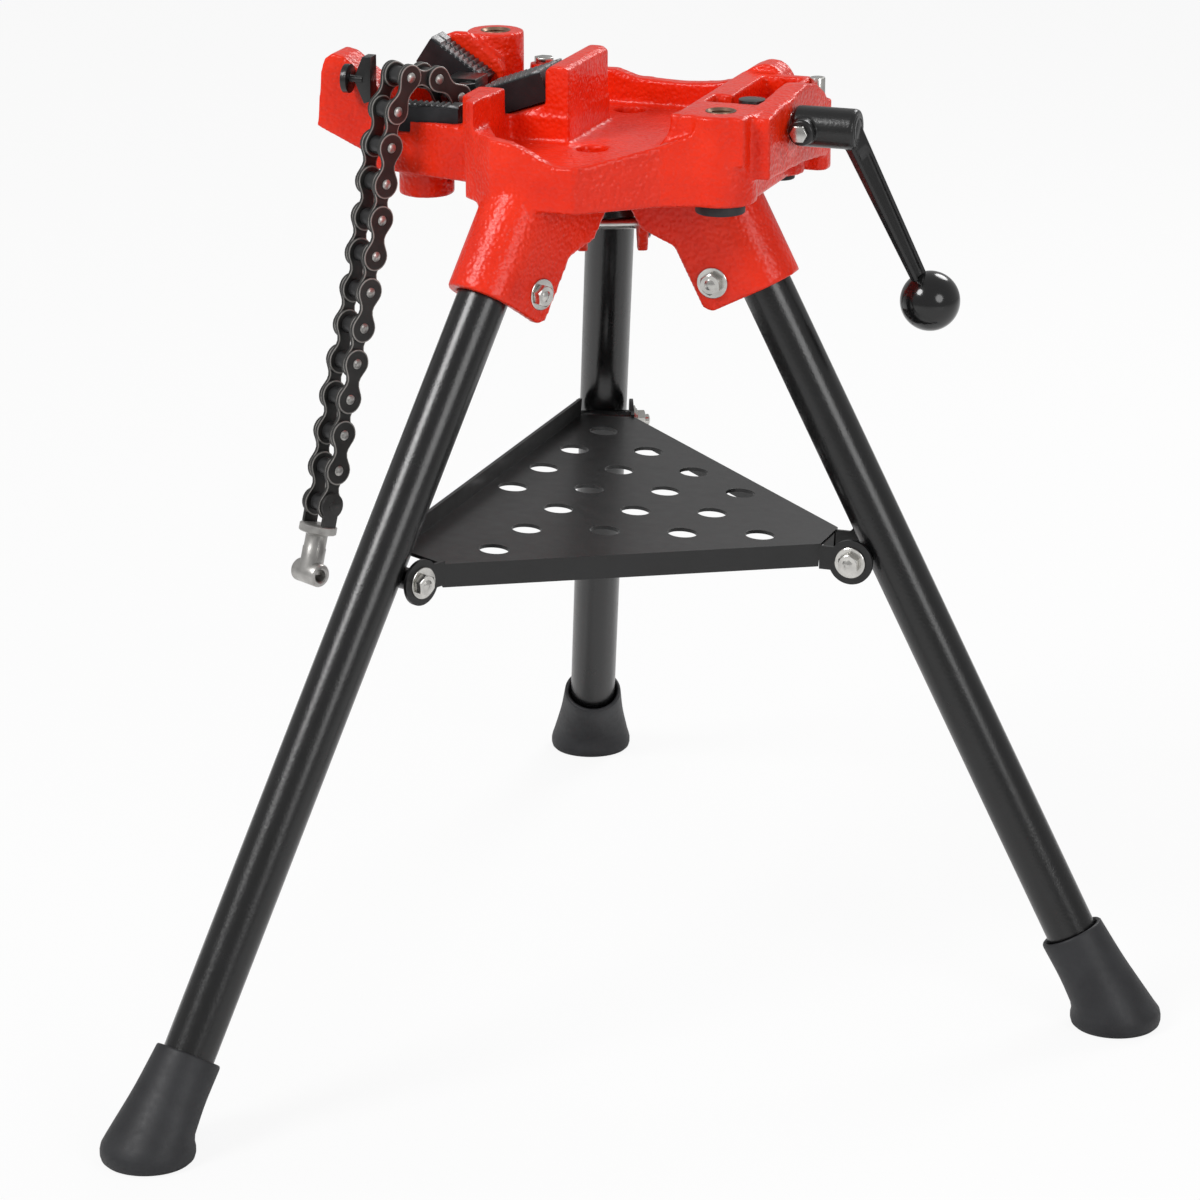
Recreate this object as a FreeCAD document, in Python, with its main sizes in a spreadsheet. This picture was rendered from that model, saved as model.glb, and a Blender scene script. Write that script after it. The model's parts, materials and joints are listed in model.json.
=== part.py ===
import FreeCAD, Part
import Sketcher
import math
import os

# Tripod pipe vise stand, millimetres, +Z up, standing on its three rubber feet.
# +X runs towards the crank, +Y away from the side where the chain hangs.
# The origin is on the floor under the middle of the stand's outer box.

Vector = FreeCAD.Vector
doc = FreeCAD.newDocument("pipe_vise_stand")
sheet = doc.addObject("Spreadsheet::Sheet", "dims")

DIMENSIONS = {
    # stand
    "head_shift": -115.1, "deck_floor": 730, "floor_thick": 10, "skirt_low": 694, "rim_top": 776,
    "platform_top": 768, "block_low": 702,
    # legs: 1-1/4 inch pipe
    "tube_radius": 21.1, "tube_wall": 3.6,
    "front_azimuth": 111.9, "front_splay": 32.5, "front_reach": 566.5, "front_tube_end": 806,
    "rear_splay": 27.1, "rear_reach": 442, "rear_tube_end": 764,
    # rubber feet
    "foot_radius": 38, "foot_inset": 14, "foot_height": 88, "foot_rim": 27, "foot_edge": 10,
    # leg sockets
    "socket_wall": 9, "socket_fit": 0.2, "socket_low_front": 623, "socket_low_rear": 614,
    "cheek_depth": 48, "socket_bolt_up": 22, "socket_bolt_in": 30, "bolt_radius": 5,
    "nut_flats": 17, "nut_high": 8, "washer_radius": 11, "washer_thick": 2, "head_high": 6.5,
    "thread_out": 4,
    # tray
    "tray_bolt_front": 412, "tray_bolt_rear": 390, "tray_rise": 12,
    "lug_radius": 9, "lug_bore": 5.25, "lug_length": 44, "lug_out": 28,
    "tray_sheet": 3, "tray_drop": 20, "tray_lip": 15, "ear_radius": 19, "ear_gap": 0.3,
    "tray_hole": 13, "tray_hole_pitch": 72, "tray_hole_turn": 22, "tray_hole_edge": 27, "tray_corner": 26,
    # vise block and jaws
    "block_front": -195, "block_end": -31, "block_half": 60, "block_near": 40,
    "vee_x": -123, "vee_z": 764, "front_slope": 33, "rear_slope": 20, "jaw_thick": 26,
    "front_jaw_length": 62, "rear_jaw_length": 66, "jaw_start": 5,
    "tooth_pitch": 4.6, "tooth_depth": 2.2, "tooth_margin": 4, "tooth_band": 9, "tooth_edge": 1.5,
    "near_jaw_low": -76, "near_jaw_high": -58, "near_jaw_top": 762, "near_jaw_depth": 24,
    "near_jaw_left": -176, "near_jaw_right": -114,
    # posts
    "post_a_x": -140, "post_a_y": 82, "post_a_radius": 24, "post_a_top": 795, "post_bore": 10.5,
    "post_b_x": 104, "post_b_y": -51.5, "post_b_radius": 30, "post_b_top": 769,
    "pad_radius": 20.5, "pad_high": 9, "stud_radius": 6.5, "wing_radius": 12, "wing_thick": 5,
    "plug_radius": 12, "plug_high": 5, "deck_hole": 13,
    # screw, nut and drawbar
    "screw_z": 750, "screw_radius": 9, "screw_fit": 0.25, "screw_start": 64, "screw_end": 203,
    "tail_wall_start": 127, "tail_wall_end": 148, "boss_face": 150, "boss_radius": 22,
    "slot_start": 78, "slot_end": 127, "slot_half": 14, "pocket_start": 93, "pocket_far": 100,
    "nut_half": 11, "nut_width": 12, "nut_x": 114, "nut_top": 769, "bar_low": 697, "bar_high": 708,
    "bar_half": 10,
    # crank
    "arm_wide": 30, "arm_narrow": 20, "arm_thick": 13, "arm_rib": 5, "clamp_out": 9, "clamp_radius": 4,
    "knob_stem": 6, "hub_start": 152, "hub_end": 205, "hub_radius": 16.75,
    "knob_radius": 25, "knob_y": 47, "knob_drop": 150, "knob_out": 50,
    # chain
    "pitch": 30, "plate_high": 21.5, "plate_thick": 3, "chain_half": 14.5, "inner_half": 10.9,
    "roller_radius": 7.5, "pin_radius": 3.6, "pin_fit": 0.15, "chain_turn": 30,
    "chain_x": -150, "chain_y": -60,
    "collar_at": 18, "collar_long": 7, "collar_radius": 15.8, "rod_radius": 9.8, "head_at": 59,
    "head_radius": 9.8, "head_long": 30,
}
for row, (name, value) in enumerate(DIMENSIONS.items(), start=1):
    sheet.set("A%d" % row, name)
    sheet.set("B%d" % row, str(value))
    sheet.setAlias("B%d" % row, name)
doc.recompute()


def size(name):
    return float(sheet.get(name))


SHIFT = Vector(size("head_shift"), 0, 0)
AXIS = Vector(1, 0, 0)
ACROSS = Vector(0, 1, 0)
parts = []


def bind(obj, **expressions):
    """Tie properties of an object to cells of the sheet."""
    for prop, text in expressions.items():
        obj.setExpression(prop.replace("__", "."), text)
    return obj


def cells(text):
    """Write bare cell names of an expression as references to the sheet."""
    out = text
    for name in sorted(DIMENSIONS, key=len, reverse=True):
        out = out.replace(name, "<" + str(list(DIMENSIONS).index(name)) + ">")
    for index, name in enumerate(DIMENSIONS):
        out = out.replace("<%d>" % index, "dims." + name)
    return out


def outline(name, points, placement=None):
    """A closed sketch through points, each a pair of expressions on the sheet."""
    sketch = doc.addObject("Sketcher::SketchObject", name)
    pairs = [(cells(str(a)), cells(str(b))) for a, b in points]
    spots = [(float(sketch.evalExpression(a)), float(sketch.evalExpression(b))) for a, b in pairs]
    count = len(spots)
    for i, (x, y) in enumerate(spots):
        after = spots[(i + 1) % count]
        sketch.addGeometry(Part.LineSegment(Vector(x, y, 0), Vector(after[0], after[1], 0)))
    for i in range(count):
        sketch.addConstraint(Sketcher.Constraint("Coincident", i, 2, (i + 1) % count, 1))
    for i, (a, b) in enumerate(pairs):
        for kind, text, spot in (("DistanceX", a, spots[i][0]), ("DistanceY", b, spots[i][1])):
            index = sketch.addConstraint(Sketcher.Constraint(kind, -1, 1, i, 1, spot))
            sketch.setExpression("Constraints[%d]" % index, text)
    if placement:
        sketch.Placement = placement
    return sketch


def extrude(name, points, placement, length):
    """A prism: an outline on a placed plane, extruded along that plane's normal."""
    sketch = outline(name + "_outline", points, placement)
    prism = doc.addObject("Part::Extrusion", name)
    prism.Base = sketch
    prism.DirMode = "Normal"
    prism.Solid = True
    prism.setExpression("LengthFwd", cells(str(length)))
    return prism


def flat(height):
    """A level plane at a height."""
    return FreeCAD.Placement(Vector(0, 0, height), FreeCAD.Rotation())


def number(value):
    """The value of a number or of an expression on the sheet."""
    return float(sheet.evalExpression(cells(str(value))))


def upright(at_y):
    """A plane across Y; its first axis is X and its second is Z, its normal is -Y."""
    return FreeCAD.Placement(Vector(0, number(at_y), 0), FreeCAD.Rotation(Vector(1, 0, 0), 90))


def across(at_x):
    """A plane across X; its first axis is Y and its second is Z, its normal is X."""
    turned = FreeCAD.Rotation(ACROSS, Vector(0, 0, 1), AXIS, "XYZ")
    return FreeCAD.Placement(Vector(number(at_x), 0, 0), turned)


def standing(x, y, z):
    """A spot with Z up."""
    return FreeCAD.Placement(Vector(number(x), number(y), number(z)), FreeCAD.Rotation())


def cylinder(name, radius, height, placement):
    obj = doc.addObject("Part::Cylinder", name)
    bind(obj, Radius=cells(str(radius)), Height=cells(str(height)))
    obj.Placement = placement
    return obj


def along(start, axis):
    """A placement whose Z runs along an axis from a start point."""
    return FreeCAD.Placement(start, FreeCAD.Rotation(Vector(0, 0, 1), axis))


def block(name, x, y, z, placement=None):
    """A box between pairs of expressions along X, Y and Z."""
    box = doc.addObject("Part::Box", name)
    bind(box, Length=cells("(%s) - (%s)" % (x[1], x[0])), Width=cells("(%s) - (%s)" % (y[1], y[0])),
         Height=cells("(%s) - (%s)" % (z[1], z[0])))
    corner = [float(box.evalExpression(cells(str(low)))) for low in (x[0], y[0], z[0])]
    place = FreeCAD.Placement(Vector(*corner), FreeCAD.Rotation())
    box.Placement = placement.multiply(place) if placement else place
    return box


def fuse(name, shapes):
    obj = doc.addObject("Part::MultiFuse", name)
    obj.Shapes = shapes
    obj.Refine = True
    return obj


def cut(name, base, tools):
    tool = tools[0] if len(tools) == 1 else fuse(name + "_tools", tools)
    obj = doc.addObject("Part::Cut", name)
    obj.Base = base
    obj.Tool = tool
    obj.Refine = True
    return obj


def common(name, base, tool):
    obj = doc.addObject("Part::Common", name)
    obj.Base = base
    obj.Tool = tool
    return obj


def hexagon(name, flats, height, placement):
    prism = doc.addObject("Part::Prism", name)
    prism.Polygon = 6
    bind(prism, Circumradius=cells("(%s) / 2 / cos(30deg)" % flats), Height=cells(str(height)))
    prism.Placement = placement
    return prism


def keep(label, obj, place=None):
    """Name a finished sub-part and put it in the stand's frame."""
    obj.Label = label
    frame = FreeCAD.Placement(SHIFT, FreeCAD.Rotation())
    if place is not None:
        frame = frame.multiply(place)
    obj.Placement = frame.multiply(obj.Placement)
    parts.append(obj)
    return obj


# ---- legs -------------------------------------------------------------------------------

class Leg:
    """One leg: Z runs up its axis from the floor, X points inboard, Y is level."""

    def __init__(self, name, azimuth, splay, reach, tube_end, socket_low, tray_bolt, nut_side):
        turn = math.radians(azimuth)
        lean = math.radians(splay)
        out = Vector(math.cos(turn), math.sin(turn), 0)
        up = Vector(-math.sin(lean) * out.x, -math.sin(lean) * out.y, math.cos(lean))
        inboard = Vector(-math.cos(lean) * out.x, -math.cos(lean) * out.y, -math.sin(lean))
        self.name = name
        self.lean = lean
        self.tube_end = tube_end
        self.frame = FreeCAD.Placement(out * reach, FreeCAD.Rotation(inboard, up.cross(inboard), up, "ZXY"))
        self.socket_low = size(socket_low) / math.cos(lean)
        self.nut_side = nut_side
        self.tray_bolt = (size(tray_bolt) + size("lug_out") * math.sin(lean)) / math.cos(lean)

    def point(self, x, y, z):
        return self.frame.multVec(Vector(x, y, z))


LEGS = [
    Leg("left", -size("front_azimuth"), size("front_splay"), size("front_reach"), "front_tube_end",
        "socket_low_front", "tray_bolt_front", -1),
    Leg("back", size("front_azimuth"), size("front_splay"), size("front_reach"), "front_tube_end",
        "socket_low_front", "tray_bolt_front", -1),
    Leg("right", 0, size("rear_splay"), size("rear_reach"), "rear_tube_end", "socket_low_rear",
        "tray_bolt_rear", 1),
]


def leg_tube(leg):
    """A pipe leg with the short cross tube for its tray bolt welded on the inboard side."""
    name = "leg_tube_" + leg.name
    start = size("foot_inset") + size("tube_radius") * math.tan(leg.lean)
    pipe = cylinder(name + "_pipe", "tube_radius", "%s - %f" % (leg.tube_end, start), flat(start))
    lug_at = Vector(size("lug_out"), -size("lug_length") / 2, leg.tray_bolt)
    lug = cylinder(name + "_lug", "lug_radius", "lug_length", along(lug_at, ACROSS))
    inside = cylinder(name + "_inside", "tube_radius - tube_wall", leg.tube_end, flat(0))
    bore = cylinder(name + "_bore", "lug_bore", "lug_length", along(lug_at, ACROSS))
    keep(name, cut(name, fuse(name + "_walls", [pipe, lug]), [inside, bore]), leg.frame)


def foot(leg):
    """A flared rubber foot: a round sole flat on the floor and a rim square to the pipe."""
    name = "rubber_foot_" + leg.name
    sole = doc.addObject("Part::Circle", name + "_sole")
    bind(sole, Radius=cells("foot_radius"))
    sole.Placement = leg.frame.inverse().multiply(FreeCAD.Placement(leg.frame.Base, FreeCAD.Rotation()))
    edge = doc.addObject("Part::Circle", name + "_edge")
    bind(edge, Radius=cells("foot_radius"))
    raised = leg.frame.Base + Vector(0, 0, size("foot_edge"))
    edge.Placement = leg.frame.inverse().multiply(FreeCAD.Placement(raised, FreeCAD.Rotation()))
    rim = doc.addObject("Part::Circle", name + "_rim")
    bind(rim, Radius=cells("foot_rim"))
    rim.Placement = flat(size("foot_height"))
    body = doc.addObject("Part::Loft", name + "_body")
    body.Sections = [sole, edge, rim]
    body.Solid = True
    body.Ruled = True
    start = size("foot_inset") + size("tube_radius") * math.tan(leg.lean)
    socket = cylinder(name + "_socket", "tube_radius", 200, flat(start))
    keep(name, cut(name, body, [socket]), leg.frame)


for leg in LEGS:
    leg_tube(leg)
    foot(leg)

# ---- vise base casting ------------------------------------------------------------------

DECK = [(-95, -60), (-95, -112), (-62, -141), (9, -142), (66, -92), (104, -77), (130, -62), (130, 112),
        (118, 132), (100, 140), (-91, 138), (-150, 116), (-172, 84), (-178, 55), (-95, 55)]
PAN = [(-30, -42), (-82, -42), (-82, -88), (-62, -126), (5, -132), (60, -86), (70, -62), (70, 116),
       (58, 124), (-88, 124), (-108, 104), (-108, 66), (-30, 62)]
UNDER = [(-100, -108), (-60, -131), (5, -132), (60, -92), (74, -60), (74, 100), (60, 124), (-88, 124),
         (-100, 112)]
NEAR_RIM = [(-84, 752), (-69, 752), (-46, 749), (-31, 743), (-13, 734), (0, 732), (16, 734), (40, 739),
            (65, 745), (88, 753), (97, 768), (140, 768), (140, 840), (-84, 840)]
FAR_RIM = [(-200, 752), (-91, 752), (-82, 758), (-48, 759), (-29, 753), (11, 751), (41, 753), (55, 756), (66, 763),
           (77, 771), (87, 775), (96, 774), (104, 769), (111, 760), (118, 748), (140, 748), (140, 840), (-200, 840)]
RAMP = [(32, 728), (48, 733), (60, 743), (70, 757), (78, "platform_top"), (132, "platform_top"), (132, 728)]
TAIL_WALL = [(-60, 716), (-60, 766), (-30, 770), (10, 773), (45, 775), (72, 770), (95, 759), (108, 748), (114, 736),
             (114, 704), (96, 704), (40, 711)]


def layer(name, points, z_low, z_high):
    """A level outline extruded between two heights."""
    return extrude(name, points, flat(number(z_low)), "(%s) - (%s)" % (z_high, z_low))


def socket_shape(leg):
    """A channel round the pipe, open inboard, with two cheeks that carry the clamp bolt."""
    name = "socket_" + leg.name
    outer = size("tube_radius") + size("socket_fit") + size("socket_wall")
    top = (size("deck_floor") - 2) / math.cos(leg.lean) + 30
    low = leg.socket_low
    back = cylinder(name + "_back", "tube_radius + socket_fit + socket_wall", top - low, flat(low))
    depth = size("cheek_depth")
    cheeks = extrude(name + "_cheeks", [(0, low), (depth - 6, low), (depth, low + 6), (depth, low + 62),
                                        (depth + 20, low + 86), (depth + 24, top), (0, top)],
                     upright(outer), 2 * outer)
    trim = block(name + "_trim", (-200, 200), (-200, 200), ("deck_floor - floor_thick / 2", 1200),
                 leg.frame.inverse())
    return cut(name + "_body", fuse(name + "_walls", [back, cheeks]), [trim])


skin = layer("deck_outer", DECK, "skirt_low", "rim_top")
hollow = layer("deck_hollow", PAN, "deck_floor", "rim_top + 20")
under = layer("deck_under", UNDER, "skirt_low - 1", "deck_floor - floor_thick")
near_rim = extrude("near_rim", NEAR_RIM, upright(-72), 90)
far_rim = extrude("far_rim", FAR_RIM, upright(160), 48)
level_head = block("level_head", (-200, 60), (-72, 112), (752, 840))
level_tail = block("level_tail", (60, 140), (-72, 112), ("platform_top", 840))
deck = cut("deck", skin, [hollow, under, near_rim, far_rim, level_head, level_tail])
head = extrude("head_block", [
    ("block_front", "block_low"), ("block_end", "block_low"), ("block_end", 790), (-36, 793), (-47, 793),
    (-53, 788), (-52, 760), (-114, 739), (-126.3, 735.1), (-137.2, 742.2), (-182, 771.5),
    ("block_front", 771.5)],
    upright("block_half"), "block_half + block_near")
ramp = extrude("ramp", RAMP, upright(112), 188)
tail_wall = extrude("tail_wall", TAIL_WALL, across("tail_wall_start"), "tail_wall_end - tail_wall_start")
near_wall = extrude("near_wall", [("block_front", -38), ("block_front", -66), (-182, -70), (-88, -93),
                                  (-84, -93), (-84, -38)], flat(size("block_low")), 46)
ridge = extrude("ridge", [(-106, -50), (-106, -88), (-98, -95), (-88, -95), (-82, -88), (-82, -50)],
                flat(size("block_low")), 73)
horn = extrude("horn", [(-250, 731), (-186, 702), (-186, 760), (-214, 782), (-226, 791), (-236, 793),
                        (-243, 788), (-246, 778)], upright(-14), 36)
post_a = cylinder("post_a", "post_a_radius", "post_a_top - block_low",
                  standing("post_a_x", "post_a_y", "block_low"))
post_b = cylinder("post_b", "post_b_radius", "post_b_top - skirt_low",
                  standing("post_b_x", "post_b_y", "skirt_low"))
far_strip = extrude("far_strip", [(-126, 722), (-121, 767), (-125, 775), (-154, 797), (-167, 797), (-186, 789),
                                  (-190, 722)], upright(60), 9)
tail_boss = cylinder("tail_boss", "boss_radius", "boss_face - tail_wall_end + 4",
                     along(Vector(size("tail_wall_end") - 4, 0, size("screw_z")), AXIS))
front_boss = cylinder("front_boss", 23, 26, standing(-153, -48, 681))
plug_boss = cylinder("plug_boss", 20, 34, standing(118, 68, 694))
corner_lug = extrude("corner_lug", [(126, 98), (143, 98), (148, 103), (148, 114), (142, 120), (126, 120)],
                     flat(690), 60)
pin_boss = cylinder("pin_boss", 12, 66, standing(-103, 100, 700))
sockets = [socket_shape(leg) for leg in LEGS]
for leg, shape in zip(LEGS, sockets):
    shape.Placement = leg.frame
solid_base = fuse("base_solid", [deck, head, near_wall, ridge, horn, post_a, post_b, far_strip, ramp,
                                 tail_wall, tail_boss, front_boss, plug_boss, corner_lug, pin_boss] + sockets)

tools = []
for leg in LEGS:
    bore = cylinder("socket_bore_" + leg.name, "tube_radius + socket_fit", "%s - 600 + 2" % leg.tube_end,
                    flat(600))
    bore.Placement = leg.frame.multiply(bore.Placement)
    gap_half = size("tube_radius") + size("socket_fit")
    gap = block("socket_gap_" + leg.name, (0, 200), (-gap_half, gap_half),
                (leg.socket_low - 5, leg.socket_low + 70))
    gap.Placement = leg.frame.multiply(gap.Placement)
    bolt_hole = cylinder("socket_bolt_hole_" + leg.name, "bolt_radius + 0.3", 120,
                         along(Vector(size("socket_bolt_in"), -60, leg.socket_low + size("socket_bolt_up")), ACROSS))
    bolt_hole.Placement = leg.frame.multiply(bolt_hole.Placement)
    tools += [bore, gap, bolt_hole]
chain_bay = block("chain_bay", (-180, -119.5), (-56, 18), ("skirt_low", 830))
bar_slot = block("bar_slot", (-178, "block_end + 10"), (-12, 12), ("skirt_low", "bar_high + 2"))
nut_slot = block("nut_slot", ("slot_start", "slot_end"), ("-slot_half", "slot_half"), ("skirt_low", 800))
under_slot = block("under_slot", (-25, "slot_end"), ("-slot_half", "slot_half"),
                   ("skirt_low - 1", "deck_floor - floor_thick"))
screw_bore = cylinder("screw_bore", "screw_radius + screw_fit", 100,
                      along(Vector(size("screw_start") - 2, 0, size("screw_z")), AXIS))
stud_bore = cylinder("stud_bore", "stud_radius", 60, standing(137, 108, 738))
tail_pocket = block("tail_pocket", ("pocket_start", "tail_wall_start"), ("-slot_half", "pocket_far"), (735, 800))
near_seat = block("near_seat", ("near_jaw_left", "near_jaw_right"), ("near_jaw_low", "near_jaw_high + 10"),
                  ("near_jaw_top - near_jaw_depth", 900))
post_bore_a = cylinder("post_bore_a", "post_bore", 70, standing("post_a_x", "post_a_y", "post_a_top - 60"))
post_bore_b = cylinder("post_bore_b", "post_bore", 50, standing("post_b_x", "post_b_y", "post_b_top - 40"))
deck_holes = [cylinder("deck_hole_%d" % i, "deck_hole", 40, standing(x, y, 705))
              for i, (x, y) in enumerate([(-7, -52), (-27, 104)])]
vee_space = extrude("vee_space", [(-52, 760), (-114, 739), (-126.3, 735.1), (-137.2, 742.2), (-192, 777.8),
                                  (-192, 840), (-52, 840)], upright(51.5), 91.5)
tools += [vee_space, chain_bay, bar_slot, nut_slot, under_slot, screw_bore, tail_pocket, stud_bore, near_seat,
          post_bore_a, post_bore_b] + deck_holes
keep("vise_base", cut("vise_base", solid_base, tools))

# ---- tray -------------------------------------------------------------------------------

def bolt_frame(leg, x, z):
    """A frame on a cross bolt of a leg: Z runs along the bolt towards its nut, X inboard."""
    turned = FreeCAD.Rotation(Vector(1, 0, 0), Vector(), ACROSS * -leg.nut_side, "XZY")
    return leg.frame.multiply(FreeCAD.Placement(Vector(x, 0, z), turned))


def tray_frame():
    """The tray's top face: it slopes a little down towards the rear leg."""
    front = bolt_frame(LEGS[0], size("lug_out"), LEGS[0].tray_bolt).Base
    rear = bolt_frame(LEGS[2], size("lug_out"), LEGS[2].tray_bolt).Base
    slope = (front.z - rear.z) / (rear.x - front.x)
    level = front.z + size("tray_rise") + slope * front.x
    return FreeCAD.Placement(Vector(0, 0, level), FreeCAD.Rotation(ACROSS, math.degrees(math.atan(slope))))


def tray_corners(frame):
    """The two corners of the sheet beside each leg, in order round the triangle."""
    corners = []
    up = frame.Rotation.multVec(Vector(0, 0, 1))
    side = size("lug_length") / 2 + size("ear_gap") + size("tray_sheet")
    for leg in (LEGS[0], LEGS[2], LEGS[1]):
        bolt = leg.point(size("lug_out"), 0, leg.tray_bolt)
        out = Vector(bolt.x, bolt.y, 0).normalize()
        round_way = Vector(-out.y, out.x, 0)
        near = Vector(bolt.x, bolt.y, 0) - out * size("tray_corner")
        for sign in (-1, 1):
            corner = near + round_way * side * sign
            corner.z = frame.Base.z - (up.x * corner.x + up.y * corner.y) / up.z
            spot = frame.inverse().multVec(corner)
            corners.append((spot.x, spot.y))
    return corners


def inside(spot, corners, edge):
    """Whether a spot lies at least an edge distance inside a counterclockwise outline."""
    for (ax, ay), (bx, by) in zip(corners, corners[1:] + corners[:1]):
        run = math.hypot(bx - ax, by - ay)
        if ((bx - ax) * (spot[1] - ay) - (by - ay) * (spot[0] - ax)) / run < edge:
            return False
    return True


def tray():
    frame = tray_frame()
    corners = tray_corners(frame)
    sheet_top = extrude("tray_sheet_body", corners, flat(-size("tray_sheet")), "tray_sheet")
    pieces = [sheet_top]
    for index, (start, end) in enumerate([(1, 2), (3, 4), (5, 0)]):
        ax, ay = corners[start]
        bx, by = corners[end]
        turn = math.degrees(math.atan2(by - ay, bx - ax))
        side = FreeCAD.Placement(Vector(ax, ay, 0), FreeCAD.Rotation(Vector(0, 0, 1), turn))
        low, high = ("-tray_sheet", "tray_lip") if index == 2 else ("-tray_drop", 0)
        pieces.append(block("tray_flange_%d" % index, (0, math.hypot(bx - ax, by - ay)), (0, "tray_sheet"),
                            (low, high), side))
    holes = []
    turn = math.radians(size("tray_hole_turn"))
    row = Vector(math.cos(turn), math.sin(turn), 0) * size("tray_hole_pitch")
    step = Vector(math.cos(turn + math.pi / 3), math.sin(turn + math.pi / 3), 0) * size("tray_hole_pitch")
    for i in range(-5, 6):
        for j in range(-5, 6):
            spot = row * i + step * j + Vector(9, 3, 0)
            if inside((spot.x, spot.y), corners, size("tray_hole_edge")):
                holes.append(cylinder("tray_hole_%d_%d" % (i + 5, j + 5), "tray_hole", 20,
                                      FreeCAD.Placement(spot - Vector(0, 0, 10), FreeCAD.Rotation())))
    sheet_body = fuse("tray_sheet_flanges", pieces)
    sheet_body.Placement = frame
    ears = []
    for leg in LEGS:
        bolt = leg.point(size("lug_out"), 0, leg.tray_bolt)
        out = Vector(bolt.x, bolt.y, 0).normalize()
        stand = FreeCAD.Placement(bolt, FreeCAD.Rotation(out, Vector(), Vector(0, 0, 1), "XZY"))
        inner = size("lug_length") / 2 + size("ear_gap")
        for sign in (-1, 1):
            low, high = sorted((sign * inner, sign * (inner + size("tray_sheet"))))
            disc = cylinder("ear_disc", "ear_radius", high - low, along(Vector(0, low, 0), ACROSS))
            web = block("ear_web", ("-tray_corner - 1", 0), (low, high),
                        ("tray_rise - tray_drop", "tray_rise"))
            for piece in (disc, web):
                piece.Placement = stand.multiply(piece.Placement)
                ears.append(piece)
    bores = []
    for leg in LEGS:
        place = bolt_frame(leg, size("lug_out"), leg.tray_bolt)
        start = place.multiply(FreeCAD.Placement(Vector(0, 0, -40), FreeCAD.Rotation()))
        bores.append(cylinder("ear_bore_" + leg.name, "lug_bore", 80, start))
    cutters = []
    for hole in holes:
        hole.Placement = frame.multiply(hole.Placement)
        cutters.append(hole)
    keep("tray", cut("tray_body", fuse("tray_solid", [sheet_body] + ears), cutters + bores))


tray()


def gather(label, pieces):
    """One node that holds a group of like fasteners, each a separate solid."""
    group = doc.addObject("Part::Compound", label)
    group.Links = pieces
    return keep(label, group)


def fastener_set(label, spots, outer):
    """Bolts, nuts and washers on cross bolts, outer being half the stack that they clamp."""
    bolts, nuts, washers = [], [], []
    face = "%s + washer_thick" % outer
    for name, place in spots:
        def at(z_text, name=name, place=place):
            z = float(sheet.evalExpression(cells(z_text)))
            return place.multiply(FreeCAD.Placement(Vector(0, 0, z), FreeCAD.Rotation()))
        shank = cylinder("%s_shank_%s" % (label, name), "bolt_radius",
                         "2 * (%s) + nut_high + thread_out" % face, at("-(%s)" % face))
        head = hexagon("%s_head_%s" % (label, name), "nut_flats", "head_high",
                       at("-(%s) - head_high" % face))
        bolts.append(fuse("%s_bolt_%s" % (label, name), [shank, head]))
        nut = hexagon("%s_nut_hex_%s" % (label, name), "nut_flats", "nut_high", at(face))
        hole = cylinder("%s_nut_hole_%s" % (label, name), "bolt_radius", "nut_high", at(face))
        nuts.append(cut("%s_nut_%s" % (label, name), nut, [hole]))
        for side, z_text in (("nut", outer), ("head", "-(%s)" % face)):
            tag = "%s_washer_%s_%s" % (label, side, name)
            disc = cylinder(tag + "_disc", "washer_radius", "washer_thick", at(z_text))
            eye = cylinder(tag + "_eye", "bolt_radius", "washer_thick", at(z_text))
            washers.append(cut(tag, disc, [eye]))
    gather(label + "_bolts", bolts)
    gather(label + "_nuts", nuts)
    gather(label + "_washers", washers)


fastener_set("tray", [(leg.name, bolt_frame(leg, size("lug_out"), leg.tray_bolt)) for leg in LEGS],
             "lug_length / 2 + ear_gap + tray_sheet")
fastener_set("socket", [(leg.name, bolt_frame(leg, size("socket_bolt_in"),
                                              leg.socket_low + size("socket_bolt_up"))) for leg in LEGS],
             "tube_radius + socket_fit + socket_wall")

# ---- jaws -------------------------------------------------------------------------------

def toothed(name, span, rows, depth, placement, up=1):
    """A jaw block whose working face carries rows of short ridges, with a smooth band at its end."""
    start, end = span
    first, last = start + size("tooth_margin"), end - size("tooth_band")
    pitch = (last - first) / int((last - first) / size("tooth_pitch"))
    tip, root = 0, -up * size("tooth_depth")
    line = [(start, -up * depth), (end, -up * depth), (end, tip), (last, tip)]
    spot = last
    while spot - pitch > first - 0.01:
        line += [(spot - pitch * 0.5, root), (spot - pitch, tip)]
        spot -= pitch
    line += [(first, root), (start, root)]
    if up < 0:
        line.reverse()
    pieces = []
    for index, (low, high) in enumerate(rows):
        pieces.append(extrude("%s_row_%d" % (name, index), line, upright(high), high - low))
    low, high = rows[0][0] - size("tooth_edge"), rows[-1][1] + size("tooth_edge")
    depths = sorted((root, -up * depth))
    pieces.append(block(name + "_core", (start, end), (low, high), depths))
    body = fuse(name + "_body", pieces)
    body.Placement = placement
    return body


def jaw(name, slope, length, rows, front):
    """A hardened jaw: a block whose toothed face is one flank of the vee."""
    sign = -1 if front else 1
    lean = math.radians(size(slope))
    along_face = Vector(sign * math.cos(lean), 0, math.sin(lean))
    frame = FreeCAD.Placement(Vector(size("vee_x"), 0, size("vee_z")),
                              FreeCAD.Rotation(along_face, ACROSS, Vector(), "XYZ"))
    keep(name, toothed(name, (size("jaw_start"), size(length)), rows, size("jaw_thick"), frame, sign))


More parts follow.
